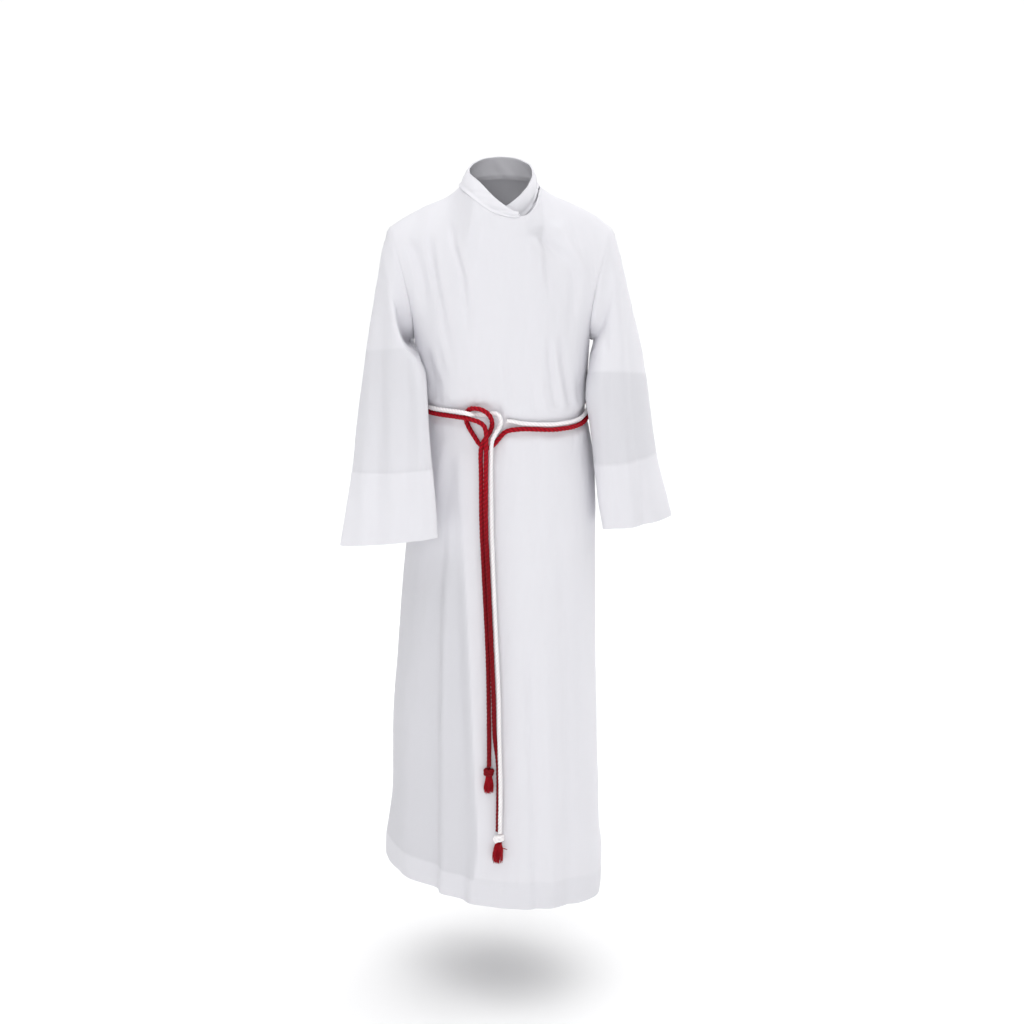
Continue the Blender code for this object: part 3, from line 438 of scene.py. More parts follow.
# ---------------------------------------------------------------- body
def ring(s, z, back=False):
    """A point of the robe's plain section at height z, below the armpits."""
    s, z = np.broadcast_arrays(s, z)
    right, left, y_right, y_left, front, rear, round_ = np.moveaxis(smooth(BODY, z), -1, 0)
    angle = s * math.pi / 2
    bend = 2 / (2.15 if back else round_)
    across = power(np.sin(angle), bend)
    middle, half = (left + right) / 2, (left - right) / 2
    depth = rear if back else -front
    side = y_right + (y_left - y_right) * (across + 1) / 2
    y = side + depth * abs(np.cos(angle)) ** bend
    return np.stack([middle + half * across, y, z], axis=-1)


def top_edge(s, neckline):
    right = smooth(SHOULDER_RIGHT, np.abs(s))
    left = smooth(SHOULDER_LEFT, np.abs(s))
    neck = smooth(neckline, s)
    edge = np.where((s < -NECK_S)[..., None], right, left)
    return np.where((abs(s) <= NECK_S)[..., None], neck, edge)


def upper(s, q, neckline, back=False):
    """A point above the armpits: q is 0 there and 1 at the top edge."""
    s, q = np.broadcast_arrays(s, q)
    base = ring(s, np.full_like(q, ARMPIT_Z), back)
    top = top_edge(s, neckline)
    rise = (1 - np.cos(math.pi * q)) / 2
    edge = abs(s) ** 4
    x = base[..., 0] + (top[..., 0] - base[..., 0]) * rise**1.15
    x -= np.sign(s) * edge * 0.007 * np.sin(math.pi * q)
    fall = (1 - rise**2.3) ** 0.80
    y = top[..., 1] + (base[..., 1] - top[..., 1]) * fall
    out = ARMHOLE_HALF_DEPTH * np.sin(math.pi * q) * abs(s) ** 3
    y += out if back else -out
    z = base[..., 2] + (top[..., 2] - base[..., 2]) * rise
    return np.stack([x, y, z], axis=-1)


def hem_tilt(points):
    """The hem hangs a little higher at the right side than at the left."""
    lift = np.interp(points[..., 0], [-0.19, 0.0, 0.16], [0.020, 0.0, -0.012])
    share = ease((-0.70 - points[..., 2]) / 0.35)
    points = points.copy()
    points[..., 2] += lift * share
    return points


def folds(x, z, table):
    """How far the folds in a table move each point out."""
    total = np.zeros(np.shape(x))
    for fold in table:
        line, right, left, depth, fade_top, fade_bottom = fold[:6]
        line = np.array(line)
        order = np.argsort(line[:, 1])
        middle = smooth(line[order][:, ::-1], z)[..., 0]
        t = x - middle
        shape = np.where(t < 0, bell(t / right), bell(t / left))
        top, bottom = line[:, 1].max(), line[:, 1].min()
        amount = np.ones(np.shape(x))
        if fade_top:
            amount = amount * ease((top - z) / fade_top)
        if fade_bottom:
            amount = amount * ease((z - bottom) / fade_bottom)
        total += depth * shape * amount
    return total


def belt_level(s, back):
    turn = 2 - s if back else np.where(s >= 0, s, 4 + s)
    return smooth(WAIST_LINE, turn)[..., 0] + 0.0035


def body_piece(columns, neckline, table, back, seed, step=0.0045):
    """The outside of a front or back, and the values that its cloth needs."""
    low = np.arange(HEM_Z, ARMPIT_Z - 0.001, step)
    low = np.append(low, ARMPIT_Z)
    q = np.linspace(0, 1, 61)[1:]
    high = upper(columns[None, :], np.linspace(0, 1, 241)[:, None], neckline, back)
    high = evenly(high, 61)[1:]
    points = np.concatenate([ring(columns[None, :], low[:, None], back), high])
    # The passage at the armpits is softened.
    row = np.arange(len(points))[:, None, None]
    share = ease(1 - abs(row - (len(low) - 1)) / 14)
    for _ in range(60):
        soft = points.copy()
        soft[1:-1] = (points[:-2] + 2 * points[1:-1] + points[2:]) / 4
        points = points + (soft - points) * share
    sign = -1.0 if back else 1.0
    normal = row_normals(points, sign=sign)
    x, z = points[..., 0], points[..., 2]
    s = np.broadcast_to(columns[None, :], x.shape)
    across = run_along(points, 1)
    across = across - across[:, [across.shape[1] // 2]]
    height = folds(x, z, table)
    # The belt draws the cloth in, and it stands out above and below.
    belt = belt_level(s, back)
    height += 0.0026 * bell((z - belt - 0.0210) / 0.0130)
    height += 0.0016 * bell((z - belt + 0.0200) / 0.0110)
    height -= 0.0014 * bell((z - belt) / 0.0075)
    rng = np.random.default_rng(seed)
    for _ in range(46):
        place = rng.uniform(-0.175, 0.175)
        lean = rng.normal(0, 0.10)
        rise, drop = rng.uniform(0.018, 0.060), rng.uniform(0.018, 0.070)
        width = rng.uniform(0.0022, 0.0050)
        depth = rng.choice([-1, 1]) * rng.uniform(0.0004, 0.0013)
        t = across - place - lean * (z - belt)
        gap = z - belt
        reach = np.where(gap > 0, ease(1 - gap / rise), ease(1 + gap / drop))
        height += depth * bell(t / width) * reach * ease((abs(gap) - 0.001) / 0.010)
    # Small unevenness of hanging cloth.
    height += 0.00055 * waves(across, z, seed + 1, 9, 0.050, 7.0)
    height += 0.00022 * waves(across, z, seed + 2, 12, 0.017, 4.0)
    height += 0.00050 * waves(z, across, seed + 3, 7, 0.090, 1.2)
    keep = 1 - abs(s) ** 12
    height = height * keep
    # Near the cords the cloth keeps clear of them.
    limit = -0.0002 + 0.012 * ease((abs(z - belt) - 0.0115) / 0.012)
    height = np.minimum(height, limit)
    top_fade = np.concatenate([np.ones(len(low)), ease((1 - q) / 0.10)])[:, None]
    height = height * top_fade
    points = hem_tilt(points + normal * height[..., None])
    normal = row_normals(points, sign=sign)
    up = run_along(points, 0)
    # The turned hem: thicker below its stitch line, with the line drawn in.
    hem = ease((BOTTOM_HEM + 0.0006 - up) / 0.0016)
    line = bell((up - BOTTOM_HEM) / 0.0014)
    pucker = 0.00035 * waves(across, up, seed + 4, 14, 0.0075, 3.0) * bell((up - BOTTOM_HEM) / 0.012)
    edge_curl = 0.0012 * waves(across, up, seed + 5, 6, 0.090, 3.0) * ease((0.05 - up) / 0.05)
    move = 0.00035 * hem - 0.0006 * line + pucker + edge_curl * keep
    # Seams are drawn in a little along the sides, armholes and shoulders.
    side = np.minimum(run_along(points, 1), run_along(points[:, ::-1], 1)[:, ::-1])
    top = up[-1:] - up
    seam = bell(side / 0.0016) + bell(top / 0.0016) * (abs(s) > NECK_S)
    move -= 0.0007 * np.minimum(seam, 1)
    points = points + normal * move[..., None]
    return {
        "points": points,
        "across": across,
        "up": up,
        "hem": hem,
        "line": line,
        "armpit": len(low) - 1,
        "s": s,
    }


# ---------------------------------------------------------------- sleeves
def sleeve_piece(armhole, sections, table, seed, cuff_at, ring_steps=19):
    """The outside of a sleeve from the armhole to the cuff."""
    count = len(armhole)
    angle = np.linspace(0, 2 * math.pi, count, endpoint=False)
    rows = np.concatenate([np.arange(len(sections))[:, None].astype(float), sections], axis=1)
    at = np.linspace(0, len(sections) - 1, (len(sections) - 1) * ring_steps + 1)
    rings = []
    for row in smooth(rows, at):
        outer, inner, front, rear, round_ = row[0:3], row[3:6], row[6], row[7], row[8]
        bend = 2 / round_
        along = power(np.cos(angle), bend)
        swell = power(np.sin(angle), bend)
        point = (outer + inner) / 2 + (outer - inner) / 2 * along[:, None]
        point[:, 1] -= np.where(swell > 0, front, rear) * swell
        rings.append(point)
    rings = np.array(rings)
    # The head grows out of the armhole line.
    lead = (1 - ease(at / 0.30))[:, None, None]
    head = np.linspace(0, 1, 6, endpoint=False)[:, None, None]
    first = armhole[None] * (1 - head) + rings[:1] * head
    points = np.concatenate([first, rings])
    return points, at, angle, lead


def build_sleeve(armhole, sections, table, seed, cuff_at, flip):
    points, at, angle, _ = sleeve_piece(armhole, sections, table, seed, cuff_at)
    sign = -1.0 if flip else 1.0
    level = np.concatenate([np.linspace(-0.16, 0, 6, endpoint=False), at])
    for _ in range(3):
        # Rounds off the first rings, where the sleeve leaves the armhole.
        soft = points.copy()
        soft[1:-1] = (points[:-2] + 2 * points[1:-1] + points[2:]) / 4
        keep = ease((level[:, None, None] - 0.2) / 0.5)
        points = points * keep + soft * (1 - keep)
    normal = row_normals(points, True, sign)
    x, z = points[..., 0], points[..., 2]
    facing = np.sin(angle)[None, :]
    front_share = ease((facing + 0.15) / 0.5)
    back_share = ease((-facing + 0.15) / 0.5)
    height = folds(x, z, [f for f in table if f[6] > 0]) * front_share
    height += folds(x, z, [f for f in table if f[6] < 0]) * back_share
    down = run_along(points, 0)
    around = np.broadcast_to(angle[None, :] * 0.045, x.shape)
    turn = np.broadcast_to(angle[None, :], x.shape)
    height += 0.00060 * waves(turn * 0 + x, z, seed + 1, 9, 0.045, 6.0)
    height += 0.00022 * waves(x, z, seed + 2, 12, 0.016, 4.0)
    # Close folds under the arm.
    under = bell((turn - math.pi) / 0.7) * bell((level[:, None] - 0.9) / 0.8)
    height += 0.0014 * under * waves(down, around, seed + 3, 5, 0.030, 2.0)
    height *= ease(down / 0.020)
    points = points + normal * height[..., None]
    normal = row_normals(points, True, sign)
    cuff = ease((level[:, None] - cuff_at) / 0.030) * np.ones_like(x)
    line = bell((level[:, None] - cuff_at) / 0.028) * np.ones_like(x)
    move = 0.00045 * cuff - 0.0006 * line
    move += 0.00035 * waves(turn * 0.05, down, seed + 5, 12, 0.008, 3.0) * bell((level[:, None] - cuff_at) / 0.16)
    # The armhole seam, its allowances pressed into the sleeve.
    move += 0.0011 * bell((down - 0.0055) / 0.0040) - 0.0009 * bell(down / 0.0016)
    # The seam under the arm.
    move -= 0.0007 * bell((turn - math.pi) * 0.05 / 0.0016)
    points = points + normal * move[..., None]
    return {"points": points, "down": down, "cuff": cuff, "line": line, "level": level, "turn": turn}


# ---------------------------------------------------------------- shells
def shell(name, points, u, v, ply_and_shade, wall, closed=False, flip=False, round_edge=True):
    """A closed thin shell from a grid: its outside, its inside and its rims."""
    sign = -1.0 if flip else 1.0
    normal = row_normals(points, closed, sign)
    wall = np.broadcast_to(wall, points.shape[:2])[..., None]
    inside = points - normal * wall
    rows, columns = points.shape[:2]
    count = rows * columns
    turns = columns if closed else columns - 1
    r, c = np.meshgrid(np.arange(rows - 1), np.arange(turns), indexing="ij")
    r, c = r.ravel(), c.ravel()
    nxt = (c + 1) % columns
    quad = np.stack([r * columns + c, r * columns + nxt, (r + 1) * columns + nxt, (r + 1) * columns + c], 1)
    uv_c = np.stack([c, c + 1, c + 1, c], 1)
    uv_r = np.stack([r, r, r + 1, r + 1], 1)
    faces, uvr, uvc = [quad, quad[:, ::-1] + count], [uv_r, uv_r[:, ::-1]], [uv_c, uv_c[:, ::-1]]
    c = np.arange(turns)
    nxt = (c + 1) % columns
    for row, turn_over in ((0, False), (rows - 1, True)):
        rim = np.stack([row * columns + c, row * columns + c + count, row * columns + nxt + count, row * columns + nxt], 1)
        rc = np.stack([c, c, c + 1, c + 1], 1)
        rr = np.full_like(rc, row)
        if turn_over:
            rim, rc, rr = rim[:, ::-1], rc[:, ::-1], rr[:, ::-1]
        faces.append(rim), uvr.append(rr), uvc.append(rc)
    if not closed:
        r = np.arange(rows - 1)
        for col, turn_over in ((0, True), (columns - 1, False)):
            rim = np.stack([r * columns + col, r * columns + col + count, (r + 1) * columns + col + count, (r + 1) * columns + col], 1)
            rr = np.stack([r, r, r + 1, r + 1], 1)
            rc = np.full_like(rr, col)
            if turn_over:
                rim, rc, rr = rim[:, ::-1], rc[:, ::-1], rr[:, ::-1]
            faces.append(rim), uvr.append(rr), uvc.append(rc)
    faces, uvr, uvc = np.concatenate(faces), np.concatenate(uvr), np.concatenate(uvc)
    if flip:
        faces, uvr, uvc = faces[:, ::-1], uvr[:, ::-1], uvc[:, ::-1]
    vertices = np.concatenate([points.reshape(-1, 3), inside.reshape(-1, 3)])
    mesh = bpy.data.meshes.new(name)
    mesh.vertices.add(len(vertices))
    mesh.vertices.foreach_set("co", vertices.astype(np.float32).ravel())
    mesh.loops.add(faces.size)
    mesh.loops.foreach_set("vertex_index", faces.astype(np.int32).ravel())
    mesh.polygons.add(len(faces))
    mesh.polygons.foreach_set("loop_start", np.arange(0, faces.size, 4, dtype=np.int32))
    mesh.update(calc_edges=True)
    if closed:
        u = np.concatenate([u, (2 * u[:, -1:] - u[:, -2:-1])], axis=1)
        v = np.concatenate([v, v[:, :1]], axis=1)
    layer = mesh.uv_layers.new(name="cloth")
    uv = np.stack([u[uvr, uvc], v[uvr, uvc]], -1)
    layer.data.foreach_set("uv", uv.astype(np.float32).ravel())
    both = np.concatenate([np.ravel(ply_and_shade), np.ravel(ply_and_shade)])
    mesh.attributes.new("ply_and_shade", "FLOAT", "POINT").data.foreach_set("value", both.astype(np.float32))
    mesh.shade_smooth()
    mesh.set_sharp_from_angle(angle=math.radians(60))
    mesh.validate()
    obj = bpy.data.objects.new(name, mesh)
    scene.collection.objects.link(obj)
    return obj


# ---------------------------------------------------------------- materials
class Nodes:
    """A short way to write a material's nodes."""

    def __init__(self, name):
        self.material = bpy.data.materials.new(name)
        self.material.use_nodes = True
        self.tree = self.material.node_tree
        self.tree.nodes.clear()
        self.output = self.tree.nodes.new("ShaderNodeOutputMaterial")
        self.shader = self.tree.nodes.new("ShaderNodeBsdfPrincipled")
        self.link(self.shader.outputs[0], self.output.inputs["Surface"])

    def link(self, a, b):
        self.tree.links.new(a, b)

    def put(self, socket, value):
        if hasattr(value, "is_output"):
            self.link(value, socket)
        else:
            socket.default_value = value

    def math(self, operation, a, b=0.0, c=0.0):
        node = self.tree.nodes.new("ShaderNodeMath")
        node.operation = operation
        for socket, value in zip(node.inputs, (a, b, c)):
            self.put(socket, value)
        return node.outputs[0]

    def attribute(self, name):
        node = self.tree.nodes.new("ShaderNodeAttribute")
        node.attribute_name = name
        return node.outputs["Fac"]

    def uv(self):
        node = self.tree.nodes.new("ShaderNodeUVMap")
        split = self.tree.nodes.new("ShaderNodeSeparateXYZ")
        self.link(node.outputs[0], split.inputs[0])
        return node.outputs[0], split.outputs[0], split.outputs[1]

    def object_place(self):
        return self.tree.nodes.new("ShaderNodeTexCoord").outputs["Object"]

    def scaled(self, vector, scale):
        node = self.tree.nodes.new("ShaderNodeMapping")
        self.link(vector, node.inputs["Vector"])
        node.inputs["Scale"].default_value = scale
        return node.outputs[0]

    def noise(self, vector, scale, detail=3.0, roughness=0.5):
        node = self.tree.nodes.new("ShaderNodeTexNoise")
        self.link(vector, node.inputs["Vector"])
        node.inputs["Scale"].default_value = scale
        node.inputs["Detail"].default_value = detail
        node.inputs["Roughness"].default_value = roughness
        return node.outputs[0]

    def mix(self, share, a, b):
        node = self.tree.nodes.new("ShaderNodeMix")
        node.data_type = "RGBA"
        self.put(node.inputs["Factor"], share)
        for socket, value in ((node.inputs["A"], a), (node.inputs["B"], b)):
            pass
        inputs = [s for s in node.inputs if s.type == "RGBA"]
        for socket, value in zip(inputs, (a, b)):
            self.put(socket, value if hasattr(value, "is_output") else (*value, 1.0))
        return [s for s in node.outputs if s.type == "RGBA"][0]

    def bump(self, height, distance, strength, normal=None):
        node = self.tree.nodes.new("ShaderNodeBump")
        node.inputs["Distance"].default_value = distance
        node.inputs["Strength"].default_value = strength
        self.link(height, node.inputs["Height"])
        if normal is not None:
            self.link(normal, node.inputs["Normal"])
        return node.outputs[0]


def cloth_material():
    """Light plain weave: whiter where it is double, and greyer where it is one
    layer, a painted shade for the light that passes through it."""
    m = Nodes("white_plain_weave")
    uv, u, v = m.uv()
    ply_and_shade = m.attribute("ply_and_shade")
    # Threads cross at about 0.45 mm, with uneven thickness along them.
    slub_u = m.noise(m.scaled(uv, (60.0, 900.0, 1.0)), 1.0, 2.0)
    slub_v = m.noise(m.scaled(uv, (900.0, 60.0, 1.0)), 1.0, 2.0)
    warp = m.math("SINE", m.math("MULTIPLY", u, 2 * math.pi / 0.00090))
    weft = m.math("SINE", m.math("MULTIPLY", v, 2 * math.pi / 0.00090))
    weave = m.math("MULTIPLY", warp, weft)
    threads = m.math("ADD", m.math("MULTIPLY", slub_u, 0.9), m.math("MULTIPLY", slub_v, 0.9))
    height = m.math("ADD", m.math("MULTIPLY", weave, 0.35), threads)
    crumple = m.noise(m.scaled(uv, (1.0, 0.35, 1.0)), 70.0, 4.0, 0.55)
    normal = m.bump(crumple, 0.0012, 0.16)
    normal = m.bump(height, 0.00016, 0.35, normal)
    m.link(normal, m.shader.inputs["Normal"])
    # Painted shade: the base colour goes grey where the cloth is one layer or on a stitch line, and white where it is
    # double.
    base = m.mix(ply_and_shade, (0.655, 0.653, 0.686), (0.765, 0.760, 0.795))
    tone = m.noise(m.scaled(uv, (1.0, 0.25, 1.0)), 26.0, 3.0)
    tone = m.math("MULTIPLY_ADD", tone, 0.05, -0.01)
    base = m.mix(tone, base, (0.62, 0.62, 0.68))
    fibre = m.math("MULTIPLY", m.math("ADD", slub_u, slub_v), 0.030)
    base = m.mix(fibre, base, (0.56, 0.56, 0.62))
    m.link(base, m.shader.inputs["Base Color"])
    m.shader.inputs["Roughness"].default_value = 0.78
    m.shader.inputs["Specular IOR Level"].default_value = 0.28
    m.shader.inputs["Sheen Weight"].default_value = 0.10
    m.shader.inputs["Sheen Roughness"].default_value = 0.45
    return m.material


def rope_material(name, bright, dark, groove, low, lay, rough=0.65, sheen=0.06):
    """Twisted yarn. bright and dark are its two tones: with low, dark is painted
    shade that deepens lower down the cord, otherwise the two vary at random along
    the hairs; groove is the painted shade between the strands."""
    m = Nodes(name)
    uv, u, v = m.uv()
    strand = m.attribute("ply_and_shade")  # 1 on a strand's crown, 0 between strands
    yarn = m.math("SINE", m.math("MULTIPLY_ADD", u, 2 * math.pi * 27.0, m.math("MULTIPLY", v, -2 * math.pi / lay)))
    yarn = m.math("MULTIPLY_ADD", yarn, 0.5, 0.5)
    hair = m.noise(m.scaled(uv, (40.0, 260.0, 1.0)), 1.0, 3.0)
    height = m.math("ADD", yarn, m.math("MULTIPLY", hair, 0.9))
    m.link(m.bump(height, 0.00035, rough), m.shader.inputs["Normal"])
    # Painted shade: where low is set, the cord goes from bright to dark lower down, from z -0.36 to -0.56.
    place = m.object_place()
    split = m.tree.nodes.new("ShaderNodeSeparateXYZ")
    m.link(place, split.inputs[0])
    fall = m.tree.nodes.new("ShaderNodeMapRange")
    fall.interpolation_type = "SMOOTHSTEP"
    m.link(split.outputs[2], fall.inputs["Value"])
    fall.inputs["From Min"].default_value = -0.36
    fall.inputs["From Max"].default_value = -0.56
    base = m.mix(fall.outputs["Result"], bright, dark) if low else m.mix(hair, bright, dark)
    # Painted shade in the grooves between the strands, less on their crowns.
    shade = m.math("SUBTRACT", 1.0, strand)
    shade = m.math("MULTIPLY_ADD", yarn, -0.15, m.math("ADD", shade, 0.10))
    shade = m.math("MINIMUM", m.math("MAXIMUM", shade, 0.0), 1.0)
    base = m.mix(shade, base, groove)
    m.link(base, m.shader.inputs["Base Color"])
    m.shader.inputs["Roughness"].default_value = 0.55
    m.shader.inputs["Specular IOR Level"].default_value = 0.18
    m.shader.inputs["Sheen Weight"].default_value = sheen
    m.shader.inputs["Sheen Roughness"].default_value = 0.40
    m.shader.inputs["Sheen Tint"].default_value = (*bright, 1.0)
    return m.material


def floor_material():
    m = Nodes("pale_floor")
    place = m.object_place()
    grain = m.noise(place, 2.0, 2.0)
    m.link(m.mix(grain, (0.94, 0.94, 0.945), (0.955, 0.955, 0.96)), m.shader.inputs["Base Color"])
    m.shader.inputs["Roughness"].default_value = 0.9
    m.shader.inputs["Specular IOR Level"].default_value = 0.1
    return m.material


# ---------------------------------------------------------------- cords
def lying(rows):
    """Points over the front of the robe, from x, z and how far the middle of
    the cord stands off the cloth."""
    s = np.linspace(-0.97, 0.97, 161)
    points = []
    for x, z, lift in rows:
        section = ring(s, np.full_like(s, z))
        y = np.interp(x, section[:, 0], section[:, 1])
        points.append((x, float(y) - lift, z))
    return points


def round_waist(first, last, above, stand_off, count):
    """Points round the waist from one turn to another."""
    turn = np.linspace(first, last, count)
    z = smooth(WAIST_LINE, turn)[:, 0] + above
    points = []
    for here, level in zip(turn, z):
        pair = []
        for t in (here - 0.01, here, here + 0.01):
            if t <= 1:
                pair.append(ring(t, level))
            elif t <= 3:
                pair.append(ring(2 - t, level, back=True))
            else:
                pair.append(ring(t - 4, level))
        tangent = pair[2] - pair[0]
        out = np.array([tangent[1], -tangent[0], 0.0])
        points.append(tuple(pair[1] + out / np.linalg.norm(out) * stand_off))
    return points


WHITE_ABOVE = 0.0073
RED_OFF, WHITE_OFF = 0.0054, 0.0048
# Over the front of the robe: x, z, and how far the cord's middle stands off.
RED_FIRST = [
    (-0.0193, -0.8250, 0.0080),
    (-0.0192, -0.7759, 0.0080),
    (-0.0206, -0.6614, 0.0085),
    (-0.0258, -0.5375, 0.0085),
    (-0.0288, -0.4636, 0.0085),
    (-0.0294, -0.3841, 0.0088),
    (-0.0298, -0.3680, 0.0108),
    (-0.0292, -0.3560, 0.0122),
    (-0.0262, -0.3460, 0.0112),
    (-0.0215, -0.3385, 0.0082),
    (-0.0165, -0.3310, 0.0070),
    (-0.0138, -0.3220, 0.0076),
    (-0.0150, -0.3115, 0.0118),
    (-0.0200, -0.3035, 0.0130),
    (-0.0280, -0.2985, 0.0125),
    (-0.0370, -0.2975, 0.0105),
    (-0.0455, -0.3005, 0.0060),
    (-0.0505, -0.3085, 0.0044),
    (-0.0500, -0.3180, 0.0044),
    (-0.0455, -0.3285, 0.0046),
    (-0.0385, -0.3395, 0.0046),
    (-0.0310, -0.3500, 0.0046),
]
RED_HOOK = [
    (-0.0215, -0.3555, 0.0046),
    (-0.0115, -0.3500, 0.0046),
    (-0.0040, -0.3410, 0.0046),
    (0.0050, -0.3320, 0.0046),
    (0.0230, -0.3285, 0.0048),
]
RED_SECOND = [
    (-0.0760, -0.3130, 0.0062),
    (-0.0640, -0.3122, 0.0098),
    (-0.0520, -0.3120, 0.0132),
    (-0.0410, -0.3135, 0.0152),
    (-0.0320, -0.3160, 0.0162),
    (-0.0250, -0.3215, 0.0164),
    (-0.0222, -0.3300, 0.0164),
    (-0.0220, -0.3440, 0.0170),
    (-0.0222, -0.3677, 0.0140),
    (-0.0226, -0.4616, 0.0130),
    (-0.0196, -0.5366, 0.0130),
    (-0.0146, -0.6604, 0.0130),
    (-0.0124, -0.7201, 0.0125),
    (-0.0108, -0.7805, 0.0085),
    (-0.0068, -0.8150, 0.0050),
    (-0.0058, -0.8350, 0.0046),
    (-0.0060, -0.8800, 0.0046),
    (-0.0068, -0.9268, 0.0046),
]
WHITE_FIRST = [
    (-0.0035, -0.9273, 0.0112),
    (-0.0027, -0.8607, 0.0112),
    (-0.0044, -0.7743, 0.0120),
    (-0.0052, -0.7200, 0.0122),
    (-0.0073, -0.6604, 0.0122),
    (-0.0110, -0.5719, 0.0120),
    (-0.0146, -0.4619, 0.0115),
    (-0.0150, -0.3650, 0.0118),
    (-0.0138, -0.3430, 0.0140),
    (-0.0085, -0.3320, 0.0140),
    (-0.0030, -0.3230, 0.0125),
    (-0.0015, -0.3130, 0.0112),
    (-0.0060, -0.3055, 0.0085),
    (-0.0130, -0.3050, 0.0050),
    (-0.0200, -0.3080, 0.0038),
    (-0.0280, -0.3082, 0.0040),
    (-0.0360, -0.3072, 0.0075),
    (-0.0435, -0.3058, 0.0138),
    (-0.0510, -0.3044, 0.0142),
    (-0.0620, -0.3043, 0.0098),
    (-0.0760, -0.3054, 0.0056),
]
WHITE_LAST = [
    (0.0280, -0.3205, 0.0042),
    (0.0160, -0.3175, 0.0038),
    (0.0065, -0.3165, 0.0036),
]
KNOT_UPPER = ((-0.0196, -0.8336), 0.0080, 0.0150, 0.0072)  # (x, z), half width, height, lift
KNOT_LOWER = ((-0.0055, -0.9368), 0.0084, 0.0160, 0.0078)
TASSEL_UPPER = (0.0275, 0.0072)
TASSEL_LOWER = (0.0330, 0.0072)


def travelled(points):
    """Frames that turn as little as they can along a line."""
    tangent = np.gradient(points, axis=0)
    tangent /= np.linalg.norm(tangent, axis=1, keepdims=True)
    side = np.cross(tangent[0], (0.3, 0.9, 0.31))
    side /= np.linalg.norm(side)
    sides = [side]
    for t in tangent[1:]:
        side = side - t * (side @ t)
        side = side / np.linalg.norm(side)
        sides.append(side)
    sides = np.array(sides)
    return tangent, sides, np.cross(tangent, sides)


def rope(name, line, diameter, lay, strands=3, around=18, step=0.0012, taper=(0.0, 0.0)):
    """A tube whose section has one lobe for each strand and turns as it goes."""
    length = np.linalg.norm(np.diff(line, axis=0), axis=1).sum()
    count = max(int(length / step), 8)
    points = through(line, count)
    _, side, over = travelled(points)
    run = np.linspace(0, length, count)
    angle = np.linspace(0, 2 * math.pi, around, endpoint=False)
    phase = angle[None, :] + 2 * math.pi * run[:, None] / lay
    lobe = abs(np.cos(angle * strands / 2))
    crown = lobe**0.55
    radius = diameter / 2 * (0.80 + 0.22 * crown)[None, :] * np.ones((count, 1))
    rng = np.random.default_rng(len(name) + count)
    radius = radius * (1 + 0.02 * np.sin(run[:, None] * 2 * math.pi / 0.031 + rng.uniform(0, 6)))
    for k, amount in enumerate(taper):
        if amount:
            end = run if k == 0 else length - run
            radius = radius * (1 - amount * (1 - ease(end / (diameter * 0.7))))[:, None]
    ring_points = (
        points[:, None, :]
        + radius[..., None] * (np.cos(phase)[..., None] * side[:, None, :] + np.sin(phase)[..., None] * over[:, None, :])
    )
    vertices = np.concatenate([ring_points.reshape(-1, 3), points[:1], points[-1:]])
    r, c = np.meshgrid(np.arange(count - 1), np.arange(around), indexing="ij")
    r, c = r.ravel(), c.ravel()
    nxt = (c + 1) % around
    quad = np.stack([r * around + c, r * around + nxt, (r + 1) * around + nxt, (r + 1) * around + c], 1)
    faces = [tuple(int(i) for i in f) for f in quad]
    first, last = count * around, count * around + 1
    for k in range(around):
        faces.append((k, first, (k + 1) % around))
        top = (count - 1) * around
        faces.append((top + (k + 1) % around, last, top + k))
    mesh = bpy.data.meshes.new(name)
    mesh.from_pydata(vertices.tolist(), [], faces)
    layer = mesh.uv_layers.new(name="cloth")
    uvs = np.zeros((len(mesh.loops), 2), np.float32)
    u4 = np.stack([c, c + 1, c + 1, c], 1) / around
    v4 = run[np.stack([r, r, r + 1, r + 1], 1)]
    uvs[: quad.size] = np.stack([u4.ravel(), v4.ravel()], 1)
    layer.data.foreach_set("uv", uvs.ravel())
    # The crowns of the strands, where the groove's painted shade is least.
    ply_and_shade = np.concatenate([np.broadcast_to(crown, (count, around)).ravel(), [0.5, 0.5]])
    mesh.attributes.new("ply_and_shade", "FLOAT", "POINT").data.foreach_set("value", ply_and_shade.astype(np.float32))
    mesh.shade_smooth()
    obj = bpy.data.objects.new(name, mesh)
    scene.collection.objects.link(obj)
    return obj, points, length


def wound_knot(name, spec, diameter, turns, seed, lean):
    """A stopper knot: the cord wound round itself, its ends tucked in."""
    (x, z), half, height, lift = spec
    centre = np.array(lying([(x, z, lift)])[0])
    radius = half - diameter / 2 + 0.0002
    rise = (height - diameter * 0.92) / turns
    line = []
    total = int(turns * 16)
    for i in range(total + 1):
        a = 2 * math.pi * i / 16 + seed
        level = height / 2 - diameter * 0.46 - rise * i / 16
        pull = min(1.0, i / 5, (total - i) / 5)
        reach = radius * (0.35 + 0.65 * pull)
        tilt = lean * math.cos(a)
        line.append(centre + (reach * math.cos(a), reach * math.sin(a) * 0.80, level + tilt))
    obj, _, _ = rope(name, np.array(line), diameter, 0.016, step=0.0010, taper=(0.5, 0.5))
    return obj, centre


